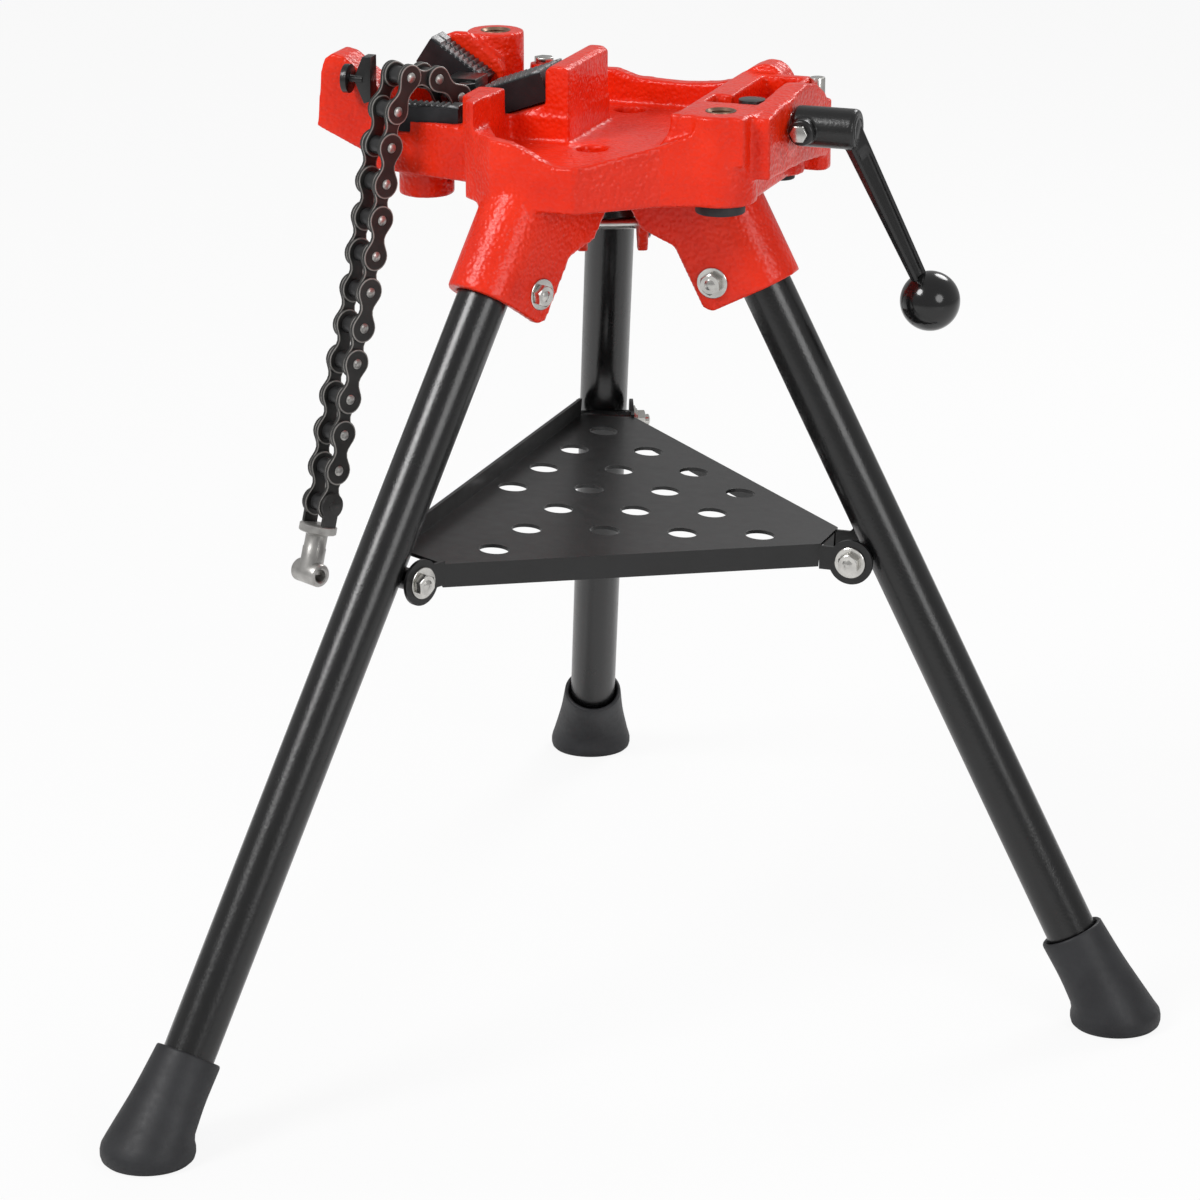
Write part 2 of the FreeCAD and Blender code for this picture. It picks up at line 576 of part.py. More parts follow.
FAR_ROWS = [(23.5, 34.5), (37.5, 48.5)]
REAR_ROWS = [(-26.5, -15.5), (-12.5, -1.5), (1.5, 12.5), (15.5, 26.5)]
jaw("jaw_front_far", "front_slope", "front_jaw_length", FAR_ROWS, True)
jaw("jaw_rear", "rear_slope", "rear_jaw_length", REAR_ROWS, False)
near_top = FreeCAD.Placement(Vector(size("near_jaw_left"), 0, size("near_jaw_top")), FreeCAD.Rotation())
keep("jaw_front_near", toothed("jaw_near", (0, size("near_jaw_right") - size("near_jaw_left")),
                               [(size("near_jaw_low") + 1.5, size("near_jaw_high") - 1.5)],
                               size("near_jaw_depth"), near_top))

# ---- screw, nut, drawbar and chain yoke -------------------------------------------------

keep("vise_screw", cylinder("screw", "screw_radius", "screw_end - screw_start",
                            along(Vector(size("screw_start"), 0, size("screw_z")), AXIS)))
nut_walls = block("nut_walls", ("nut_x - nut_half", "nut_x + nut_half"), ("-nut_width", "nut_width"),
                  ("bar_high", "screw_z + 11"))
nut_head = cylinder("nut_head", "nut_half", "nut_top - screw_z", standing("nut_x", 0, "screw_z"))
nut_body = fuse("nut_body", [nut_walls, nut_head])
nut_bore = cylinder("nut_bore", "screw_radius + screw_fit", 60,
                    along(Vector(size("nut_x") - 30, 0, size("screw_z")), AXIS))
keep("draw_nut", cut("nut", nut_body, [nut_bore]))
keep("drawbar", block("bar", (-150, "nut_x + nut_half"), ("-bar_half", "bar_half"), ("bar_low", "bar_high")))

TURN = math.radians(size("chain_turn"))
HANG = Vector(-math.sin(TURN), -math.cos(TURN), 0)
PIN = Vector(math.cos(TURN), -math.sin(TURN), 0)
UP = Vector(0, 0, 1)
# Joints of the chain: distance out along its own plane and height, from the yoke to the end.
CHAIN = [(-28.9, 762), (-5.5, 780.4)]
STEPS = [10, -62, -76, -79, -80, -77, -78, -76, -75, -75, -77, -78, -76]
for angle in STEPS:
    turn = math.radians(angle)
    last = CHAIN[-1]
    CHAIN.append((last[0] + size("pitch") * math.cos(turn), last[1] + size("pitch") * math.sin(turn)))


def chain_point(index):
    out, high = CHAIN[index]
    return Vector(size("chain_x"), size("chain_y"), 0) + HANG * out + UP * high


anchor = chain_point(0)
yoke_stem = block("yoke_stem", (-148, -121.5), (-15, 14), ("bar_high", 772))
tongue_frame = FreeCAD.Placement(anchor, FreeCAD.Rotation(HANG, PIN, HANG.cross(PIN), "XYZ"))
tongue = block("yoke_tongue", (-22, 0), (-5, 5), (-8, 8))
tongue.Placement = tongue_frame.multiply(tongue.Placement)
tongue_end = cylinder("yoke_tongue_end", 8, 10, along(anchor - PIN * 5, PIN))
yoke_hole = cylinder("yoke_hole", "pin_radius + pin_fit", 40, along(anchor - PIN * 20, PIN))
keep("chain_yoke", cut("yoke", fuse("yoke_solid", [yoke_stem, tongue, tongue_end]), [yoke_hole]))


def plate_shape(name, frame, length, low, high):
    """One waisted side plate between two joints, from low to high along the pin."""
    half = size("plate_high") / 2
    ends = [cylinder(name + "_end%d" % i, half, high - low,
                     along(frame.multVec(Vector(x, low, 0)), PIN)) for i, x in enumerate((0, length))]
    waist = block(name + "_waist", (0, length), (low, high), (-half * 0.72, half * 0.72))
    waist.Placement = frame.multiply(waist.Placement)
    return ends + [waist]


def link(index):
    """Link between joints index and index + 1; even links are outer ones and carry both pins."""
    name = "chain_link_%02d" % (index + 1)
    start, end = chain_point(index), chain_point(index + 1)
    run = (end - start)
    length = run.Length
    run.normalize()
    frame = FreeCAD.Placement(start, FreeCAD.Rotation(run, PIN, run.cross(PIN), "XYZ"))
    thick = size("plate_thick")
    outer = index % 2 == 0
    half = size("chain_half") - 0.5 if outer else size("inner_half") - 0.2
    pieces = []
    for side in (-1, 1):
        low, high = sorted((side * half, side * (half - thick)))
        pieces += plate_shape("%s_plate%d" % (name, side), frame, length, low, high)
    if outer:
        pins = [cylinder(name + "_pin%d" % i, "pin_radius", "chain_half * 2",
                         along(frame.multVec(Vector(x, -size("chain_half"), 0)), PIN))
                for i, x in enumerate((0, length))]
        return keep(name, fuse(name, pieces + pins))
    rollers = [cylinder(name + "_roller%d" % i, "roller_radius", 2 * half - thick,
                        along(frame.multVec(Vector(x, -half + thick / 2, 0)), PIN))
               for i, x in enumerate((0, length))]
    holes = [cylinder(name + "_hole%d" % i, "pin_radius + pin_fit", "chain_half * 3",
                      along(frame.multVec(Vector(x, -size("chain_half") * 1.5, 0)), PIN))
             for i, x in enumerate((0, length))]
    return keep(name, cut(name, fuse(name + "_solid", pieces + rollers), holes))


for index in range(len(CHAIN) - 1):
    link(index)


def chain_end():
    """The free end of the chain: a shackle, a collar, a short rod and a slotted cross head."""
    start = chain_point(len(CHAIN) - 1)
    run = start - chain_point(len(CHAIN) - 2)
    run.normalize()
    frame = FreeCAD.Placement(start, FreeCAD.Rotation(run, PIN, run.cross(PIN), "XYZ"))
    half = size("chain_half") - 0.5
    thick = size("plate_thick")
    pieces = [cylinder("end_pin", "pin_radius", "chain_half * 2", along(start - PIN * size("chain_half"), PIN))]
    for side in (-1, 1):
        low, high = sorted((side * half, side * (half - thick)))
        pieces.append(cylinder("end_eye%d" % side, "plate_high / 2", thick, along(start + PIN * low, PIN)))
        arm = block("end_arm%d" % side, (0, "collar_at"), (low, high), (-7, 7))
        arm.Placement = frame.multiply(arm.Placement)
        pieces.append(arm)
    shackle = fuse("shackle", pieces)
    along_run = along(start, run)
    seat = along_run.multiply(standing(0, 0, "collar_at"))
    collar = cylinder("end_collar", "collar_radius", "collar_long", seat)
    rod = cylinder("end_rod", "rod_radius", "head_at - collar_at", seat)
    head_spot = start + run * size("head_at")
    head = cylinder("end_head", "head_radius", "head_long", along(head_spot - PIN * (size("head_long") / 2), PIN))
    eye = cylinder("end_eye_hole", "head_radius - 4.5", "head_long + 2",
                   along(head_spot - PIN * (size("head_long") / 2 + 1), PIN))
    slot = block("end_slot", ("head_at - 6", "head_at + 20"), (-3, 5), (-20, 20))
    slot.Placement = frame.multiply(slot.Placement)
    keep("chain_end_fitting", cut("end_fitting", fuse("end_solid", [collar, rod, head]), [eye, slot]))
    keep("chain_end_shackle", shackle)


chain_end()

# ---- crank ------------------------------------------------------------------------------

def crank():
    """A forged handle: a hub on the screw's end, a tapered grooved arm and a boss for the knob."""
    axis_at = Vector(0, 0, size("screw_z"))
    hub = cylinder("hub", "hub_radius", "hub_end - hub_start", along(axis_at + AXIS * size("hub_start"), AXIS))
    reach = Vector(0, size("knob_y"), -size("knob_drop"))
    length = reach.Length
    arm_frame = FreeCAD.Placement(axis_at + AXIS * (size("hub_end") - size("arm_thick")),
                                  FreeCAD.Rotation(reach, Vector(), AXIS, "XZY"))
    web = extrude("arm_web", [(0, "-arm_wide / 2"), (length, "-arm_narrow / 2"), (length, "arm_narrow / 2"),
                              (0, "arm_wide / 2")], flat(0), "arm_thick")
    groove_points = [(26, "-arm_wide / 2 + arm_rib"), (length - 16, "-arm_narrow / 2 + arm_rib"),
                     (length - 16, "arm_narrow / 2 - arm_rib"), (26, "arm_wide / 2 - arm_rib")]
    outer_groove = extrude("arm_groove_out", groove_points, flat(size("arm_thick") - 3), 6)
    inner_groove = extrude("arm_groove_in", groove_points, flat(-3), 6)
    boss = cylinder("arm_boss", "arm_narrow / 2 + 2", "arm_thick + 4", FreeCAD.Placement(
        Vector(length, 0, -2), FreeCAD.Rotation()))
    arm = cut("arm_body", fuse("arm_walls", [web, boss]), [outer_groove, inner_groove])
    arm.Placement = arm_frame
    side = size("hub_radius") + size("clamp_out")
    lug = block("clamp_lug", ("hub_start", "hub_start + 22"), (-side, 0), ("screw_z - 10", "screw_z + 8"))
    lug_round = cylinder("clamp_round", 11, side, along(Vector(size("hub_start") + 11, -side, size("screw_z") - 1),
                                                        ACROSS))
    bore = cylinder("hub_bore", "screw_radius", 80, along(axis_at + AXIS * (size("hub_start") - 5), AXIS))
    set_hole = cylinder("clamp_hole", "clamp_radius", 40, along(
        Vector(size("hub_start") + 11, -side - 2, size("screw_z") - 1), ACROSS))
    stub_hole = cylinder("knob_hole", "knob_stem", 60, along(
        axis_at + reach + AXIS * (size("hub_end") - 30), AXIS))
    solid = fuse("crank_solid", [hub, arm, lug, lug_round])
    keep("crank_handle", cut("crank", solid, [bore, set_hole, stub_hole]))
    shank = cylinder("clamp_shank", "clamp_radius", side - size("screw_radius"), along(
        Vector(size("hub_start") + 11, -side, size("screw_z") - 1), ACROSS))
    head_seat = Vector(size("hub_start") + 11, -side - 5, size("screw_z") - 1)
    head = hexagon("clamp_head", 13, 5, along(head_seat, ACROSS))
    keep("crank_clamp_bolt", fuse("clamp_bolt", [shank, head]))
    knob_at = axis_at + reach + AXIS * (size("hub_end") + size("knob_out"))
    ball = doc.addObject("Part::Sphere", "knob_ball")
    bind(ball, Radius=cells("knob_radius"))
    ball.Placement = FreeCAD.Placement(knob_at, FreeCAD.Rotation())
    neck = cylinder("knob_neck", 10, size("knob_out") - 4, along(knob_at - AXIS * (size("knob_out") - 2.5), AXIS))
    stem = cylinder("knob_stem_pin", "knob_stem", size("knob_out") + size("arm_thick"), along(
        knob_at - AXIS * (size("knob_out") + size("arm_thick")), AXIS))
    keep("crank_knob", fuse("knob", [ball, neck, stem]))


crank()

# ---- small pieces on the vise base ------------------------------------------------------
keep("post_pad", cylinder("pad", "pad_radius", "pad_high",
                          standing("post_b_x", "post_b_y", "skirt_low - pad_high")))
keep("boss_plug", cylinder("plug", "plug_radius", "plug_high", standing(118, 68, "skirt_low - plug_high")))


def horn_wing():
    """The black winged screw on the near face of the horn: a disc, a thin neck and a wedge."""
    disc = cylinder("wing_disc", "wing_radius", "wing_thick", along(Vector(-219, -62.5, 776), AXIS))
    neck = cylinder("wing_neck", 3, 14, along(Vector(-217, -62.5, 776), AXIS))
    wedge = extrude("wing_wedge", [(-210, 778), (-203, 795), (-196, 795), (-196, 758), (-202, 756), (-210, 774)],
                    upright(-50), 14)
    keep("horn_wing", fuse("wing", [disc, neck, wedge]))


horn_wing()
head_bolt = hexagon("boss_bolt_hex", 15, 5, standing(-103, 100, 766))
stud = cylinder("tail_stud", "stud_radius", 30, standing(137, 108, 738))
gather("boss_bolts", [head_bolt, stud])

doc.recompute()
for obj in doc.Objects:
    if "Invalid" in obj.State or "Error" in obj.State:
        raise RuntimeError("failed: %s %s" % (obj.Name, obj.State))
os.makedirs("parts", exist_ok=True)
for obj in parts:
    shape = obj.Shape
    if shape.isNull() or not shape.isValid():
        raise RuntimeError("bad shape: " + obj.Label)
    print(obj.Label, len(shape.Solids), round(shape.Volume), shape.BoundBox)
    shape.exportStep("parts/%s.step" % obj.Label)
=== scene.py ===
"""Finish of a tripod pipe vise stand: enamelled casting, steel, rubber, light and camera."""
import json
import math

import bmesh
import bpy
from mathutils import Matrix, Vector

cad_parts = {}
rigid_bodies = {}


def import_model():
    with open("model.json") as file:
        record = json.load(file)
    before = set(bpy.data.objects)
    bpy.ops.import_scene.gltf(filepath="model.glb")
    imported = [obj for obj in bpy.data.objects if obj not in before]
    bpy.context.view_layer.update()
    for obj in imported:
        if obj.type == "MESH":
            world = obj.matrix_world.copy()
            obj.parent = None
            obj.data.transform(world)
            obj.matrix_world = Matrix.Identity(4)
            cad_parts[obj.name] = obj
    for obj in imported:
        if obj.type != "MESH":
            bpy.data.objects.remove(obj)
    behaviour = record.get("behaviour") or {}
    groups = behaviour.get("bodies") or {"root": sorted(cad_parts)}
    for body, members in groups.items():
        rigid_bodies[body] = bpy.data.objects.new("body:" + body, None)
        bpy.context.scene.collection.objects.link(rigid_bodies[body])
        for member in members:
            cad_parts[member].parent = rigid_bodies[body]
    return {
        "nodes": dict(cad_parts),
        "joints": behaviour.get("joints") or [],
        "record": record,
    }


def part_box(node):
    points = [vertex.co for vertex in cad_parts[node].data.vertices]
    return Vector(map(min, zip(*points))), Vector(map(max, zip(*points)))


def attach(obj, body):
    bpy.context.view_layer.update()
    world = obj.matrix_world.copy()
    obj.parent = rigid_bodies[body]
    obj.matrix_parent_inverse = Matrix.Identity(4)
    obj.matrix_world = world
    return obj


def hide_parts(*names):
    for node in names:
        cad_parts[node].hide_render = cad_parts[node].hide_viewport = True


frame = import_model()
NODES = frame["nodes"]
JOINTS = {joint["name"]: joint for joint in frame["joints"]}
BODIES = frame["record"]["behaviour"]["bodies"]
BODY_OF = {node: body for body, nodes in BODIES.items() for node in nodes}
MM = 0.001
UP = Vector((0, 0, 1))
# Places taken from the shared axis of the legs are moved by this into the frame.
SHIFT = Vector((-0.1151, 0, 0))


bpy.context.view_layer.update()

# ---- node expressions -------------------------------------------------------------------


class Sock:
    """A node socket that can be used in Python expressions."""

    def __init__(self, tree, out):
        self.tree = tree
        self.out = out

    def fn(self, kind, other=0.0, flip=False):
        node = self.tree.nodes.new("ShaderNodeMath")
        node.operation = kind
        pair = (other, self) if flip else (self, other)
        for slot, value in zip(node.inputs, pair):
            if isinstance(value, Sock):
                self.tree.links.new(value.out, slot)
            else:
                slot.default_value = value
        return Sock(self.tree, node.outputs[0])

    def __add__(self, other):
        return self.fn("ADD", other)

    def __sub__(self, other):
        return self.fn("SUBTRACT", other)

    def __mul__(self, other):
        return self.fn("MULTIPLY", other)

    def __truediv__(self, other):
        return self.fn("DIVIDE", other)

    def __radd__(self, other):
        return self.fn("ADD", other, True)

    def __rsub__(self, other):
        return self.fn("SUBTRACT", other, True)

    def __rmul__(self, other):
        return self.fn("MULTIPLY", other, True)


class Graph:
    """A node tree under construction."""

    def __init__(self, tree):
        self.tree = tree

    def node(self, kind, settings, values, output=0):
        """Add a node: its settings first, then its socket values or links."""
        node = self.tree.nodes.new(kind)
        for key, value in settings.items():
            if key == "stops":
                ramp = node.color_ramp
                while len(ramp.elements) < len(value):
                    ramp.elements.new(1.0)
                for element, (at, color) in zip(ramp.elements, value):
                    element.position = at
                    element.color = (*color, 1)
            else:
                setattr(node, key, value)
        for key, value in values.items():
            if isinstance(value, Sock):
                self.tree.links.new(value.out, node.inputs[key])
            else:
                node.inputs[key].default_value = value
        return Sock(self.tree, node.outputs[output])


# ---- finishes ---------------------------------------------------------------------------
# The Mix node's colour sockets share their names with its number sockets, so they go by place.
MIX_FACTOR, MIX_A, MIX_B, MIX_RESULT = 0, 6, 7, 2


class Finish(Graph):
    """A material under construction."""

    def __init__(self, name, color, roughness, metallic=0.0,
                 coat=0.0, coat_roughness=0.1, specular=0.5):
        self.material = bpy.data.materials.new(name)
        self.material.use_nodes = True
        super().__init__(self.material.node_tree)
        self.shader = next(n for n in self.tree.nodes if n.type == "BSDF_PRINCIPLED")
        plain = {"Base Color": (*color, 1), "Roughness": roughness, "Metallic": metallic,
                 "Coat Weight": coat, "Coat Roughness": coat_roughness,
                 "Specular IOR Level": specular}
        for key, value in plain.items():
            self.shader.inputs[key].default_value = value
        self.material.diffuse_color = (*color, 1)
        self.place = self.node("ShaderNodeTexCoord", {}, {}, "Object")

    def noise(self, scale, detail=3.0, rough=0.5):
        """Cloudy values from 0 to 1, at so many a metre."""
        values = {"Vector": self.place, "Scale": scale, "Detail": detail, "Roughness": rough}
        return self.node("ShaderNodeTexNoise", {}, values, "Fac")

    def grains(self, scale):
        """Rounded bumps, at so many a metre."""
        values = {"Vector": self.place, "Scale": scale, "Smoothness": 1.0}
        return self.node("ShaderNodeTexVoronoi", {"feature": "SMOOTH_F1"}, values, "Distance")

    def ramp(self, value, *stops):
        """A colour that runs through the stops as a value rises."""
        return self.node("ShaderNodeValToRGB", {"stops": stops}, {"Fac": value}, "Color")

    def blend(self, share, first, second):
        """A colour between two, by a share from 0 to 1."""
        values = {MIX_FACTOR: share}
        for slot, value in ((MIX_A, first), (MIX_B, second)):
            values[slot] = value if isinstance(value, Sock) else (*value, 1)
        return self.node("ShaderNodeMix", {"data_type": "RGBA"}, values, MIX_RESULT)

    def mark(self, name):
        """A number stored on the piece's own points."""
        return self.node("ShaderNodeAttribute", {"attribute_name": name}, {}, "Fac")

    def feed(self, name, value):
        """Let a value drive one of the shader's sockets."""
        self.tree.links.new(value.out, self.shader.inputs[name])

    def bump(self, height, strength, distance):
        """A surface raised by a height, by so many metres at most."""
        values = {"Strength": strength, "Distance": distance, "Height": height}
        self.feed("Normal", self.node("ShaderNodeBump", {}, values))


def red_enamel():
    """Glossy red enamel over a sand casting, whose grain shows through."""
    look = Finish("red_enamel", (0.84, 0.024, 0.003), 0.3,
                  coat=0.15, coat_roughness=0.1, specular=0.3)
    tone = look.ramp(look.noise(24, 4), (0.3, (0.77, 0.019, 0.002)), (0.7, (0.9, 0.029, 0.004)))
    look.feed("Base Color", tone)
    look.feed("Roughness", 0.22 + 0.2 * look.noise(150, 4))
    look.bump(look.grains(300) * 0.8 + look.noise(70, 3) * 0.8, 0.8, 0.0016)
    return look.material


def black_paint(name, tone, roughness, grain, depth, coat=0.2):
    """Black paint on steel, with a fine grain."""
    look = Finish(name, (tone, tone, tone * 1.08), roughness, coat=coat, coat_roughness=0.15)
    low, high = (tone * 0.8,) * 3, (tone * 1.3, tone * 1.3, tone * 1.4)
    look.feed("Base Color", look.ramp(look.noise(35, 4), (0.3, low), (0.75, high)))
    look.feed("Roughness", roughness - 0.06 + 0.14 * look.noise(90, 5))
    look.bump(look.noise(grain, 3, 0.6), 0.35, depth)
    return look.material


def rubber():
    """Matt moulded rubber with a faint bloom."""
    look = Finish("moulded_rubber", (0.018, 0.018, 0.02), 0.55, specular=0.45)
    tone = look.ramp(look.noise(28, 5), (0.3, (0.012, 0.012, 0.014)), (0.8, (0.03, 0.031, 0.034)))
    look.feed("Base Color", tone)
    look.feed("Roughness", 0.42 + 0.2 * look.noise(200, 4))
    look.bump(look.noise(900, 2), 0.25, 0.0003)
    return look.material


def steel(name, color, roughness, metallic, grain, wear_and_highlight_mark=None, wear_and_highlight_color=None):
    """Bare, plated or oxidised steel with a fine uneven sheen, and wear with a painted highlight
    where its mark says so.
    """
    look = Finish(name, color, roughness, metallic)
    low = tuple(c * 0.75 for c in color)
    high = tuple(min(1.0, c * 1.25) for c in color)
    tone = look.ramp(look.noise(70, 5), (0.3, low), (0.75, high))
    sheen = roughness - 0.07 + 0.16 * look.noise(240, 4)
    if wear_and_highlight_mark:
        # The marked points are lightened towards a grey: wear, and a painted highlight where light
        # catches edges and tips.
        worn = look.mark(wear_and_highlight_mark) * (0.35 + 0.9 * look.noise(180, 4))
        tone = look.blend(worn.fn("MINIMUM", 1.0), tone, wear_and_highlight_color)
        sheen = sheen - 0.1 * worn
    look.feed("Base Color", tone)
    look.feed("Roughness", sheen)
    look.bump(look.noise(grain, 3), 0.2, 0.0003)
    return look.material


RED = red_enamel()
TUBE = black_paint("tube_enamel", tone=0.0045, roughness=0.24, grain=500, depth=0.0006)
SHEET = black_paint("tray_coat", tone=0.0055, roughness=0.36, grain=1100, depth=0.0003, coat=0.1)
FORGING = black_paint("forging_enamel", tone=0.006, roughness=0.3, grain=420, depth=0.0006)
KNOB = black_paint("knob_gloss", tone=0.005, roughness=0.14, grain=60, depth=0.0001)
RUBBER = rubber()
# The jaws' ridge tips and the chain plates' rims are lightened: wear, and a painted highlight.
JAW = steel("black_oxide", (0.03, 0.031, 0.034), roughness=0.42, metallic=0.6, grain=500,
            wear_and_highlight_mark="worn", wear_and_highlight_color=(0.2, 0.2, 0.2))
PLATE = steel("chain_oxide", (0.036, 0.035, 0.034), roughness=0.38, metallic=0.25, grain=700,
              wear_and_highlight_mark="rim", wear_and_highlight_color=(0.55, 0.53, 0.5))
ROLLER = steel("roller_steel", (0.04, 0.04, 0.041), roughness=0.3, metallic=0.4, grain=700)
PIN = steel("chain_pin_bright", (0.5, 0.49, 0.47), roughness=0.34, metallic=0.8, grain=600)
ZINC = steel("zinc_plate", (0.66, 0.65, 0.62), roughness=0.22, metallic=1.0, grain=400)
BARE = steel("bare_thread", (0.3, 0.19, 0.13), roughness=0.4, metallic=0.9, grain=900)

# ---- meshes -----------------------------------------------------------------------------
# The angles from which an edge shows as sharp, in degrees, and from which it is broken, and the
# angle within which faces count as one flat face.
SHARP = 32
BEVEL_FROM = math.radians(28)
FLAT_WITHIN = math.radians(0.5)


def linked(name, data):
    """A new object of the scene that shows a mesh, a lamp or a camera."""
    piece = bpy.data.objects.new(name, data)
    bpy.context.scene.collection.objects.link(piece)
    return piece


def from_bmesh(name, work):
    """A piece made of a finished bmesh, which this uses up."""
    mesh = bpy.data.meshes.new(name)
    work.to_mesh(mesh)
    work.free()
    return linked(name, mesh)


def welded(node):
    """A copy of a CAD node's mesh with its doubles merged."""
    work = bmesh.new()
    work.from_mesh(NODES[node].data)
    bmesh.ops.remove_doubles(work, verts=work.verts, dist=1e-5)
    return work


def settle(piece):
    """Turn a piece with live modifiers into a plain mesh."""
    graph = bpy.context.evaluated_depsgraph_get()
    mesh = bpy.data.meshes.new_from_object(
        piece.evaluated_get(graph), preserve_all_data_layers=True, depsgraph=graph)
    piece.modifiers.clear()
    piece.data = mesh
    return piece


def dress(mesh, material, sharp):
    """Give a mesh its finish, smooth but for the edges that turn by more than an angle."""
    if material:
        mesh.materials.clear()
        mesh.materials.append(material)
    mesh.shade_smooth()
    if sharp:
        mesh.set_sharp_from_angle(angle=math.radians(sharp))


def fit(piece, body, material=None, replaced=(), sharp=SHARP):
    """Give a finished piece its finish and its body."""
    dress(piece.data, material, sharp)
    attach(piece, body)
    if replaced:
        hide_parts(*replaced)
    return piece


def ring(center, first, second, radius, count):
    """Points round a circle that two directions span."""
    angles = [math.tau * i / count for i in range(count)]
    return [center + (first * math.cos(a) + second * math.sin(a)) * radius for a in angles]


def loft(work, rings, looped=False):
    """A skin over rings of points, capped at both ends or joined end to end."""
    loops = [[work.verts.new(point) for point in points] for points in rings]
    count = len(loops[0])
    for low, high in zip(loops, loops[1:] + loops[:1] if looped else loops[1:]):
        for i in range(count):
            work.faces.new((low[i], low[(i + 1) % count], high[(i + 1) % count], high[i]))
    if not looped:
        work.faces.new(list(reversed(loops[0])))
        work.faces.new(loops[-1])
    bmesh.ops.recalc_face_normals(work, faces=work.faces)


def turn(work, start, axis, profile, count=48, looped=False):
    """A solid of revolution: pairs of distance along an axis and radius."""
    side = axis.orthogonal().normalized()
    rings = [ring(start + axis * along, side, axis.cross(side), radius, count)
             for along, radius in profile]
    loft(work, rings, looped)


def flat_faces(work):
    """Join the triangles of each flat face."""
    bmesh.ops.dissolve_limit(work, angle_limit=FLAT_WITHIN, verts=work.verts, edges=work.edges)


def broken_edges(piece, width, segments):
    """Round off a piece's edges."""
    edge = piece.modifiers.new("edge", "BEVEL")
    edge.width = width
    edge.segments = segments
    edge.limit_method = "ANGLE"
    edge.angle_limit = BEVEL_FROM
    return settle(piece)


def bevelled(node, width, material, segments=2):
    """A copy of a CAD node with its edges broken."""
    work = welded(node)
    flat_faces(work)
    piece = broken_edges(from_bmesh(node + "_piece", work), width, segments)
    return fit(piece, BODY_OF[node], material, (node,))


def cast(name, work, voxel, passes, keep):
    """Solids melted into one form with the soft edges of a casting or forging."""
    piece = from_bmesh(name, work)
    skin = piece.modifiers.new("skin", "REMESH")
    skin.mode = "VOXEL"
    skin.voxel_size = voxel
    ease = piece.modifiers.new("ease", "SMOOTH")
    ease.factor = 0.5
    ease.iterations = passes
    thin = piece.modifiers.new("thin", "DECIMATE")
    thin.ratio = keep
    return settle(piece)


# ---- geometry trees ---------------------------------------------------------------------
# On a unit drum: how far out its outermost ring starts, how far up its ends start, and the
# least distance from the axis to divide by.
RIM_FROM, END_FROM, AXIS_GAP = 0.75, 0.4, 0.01


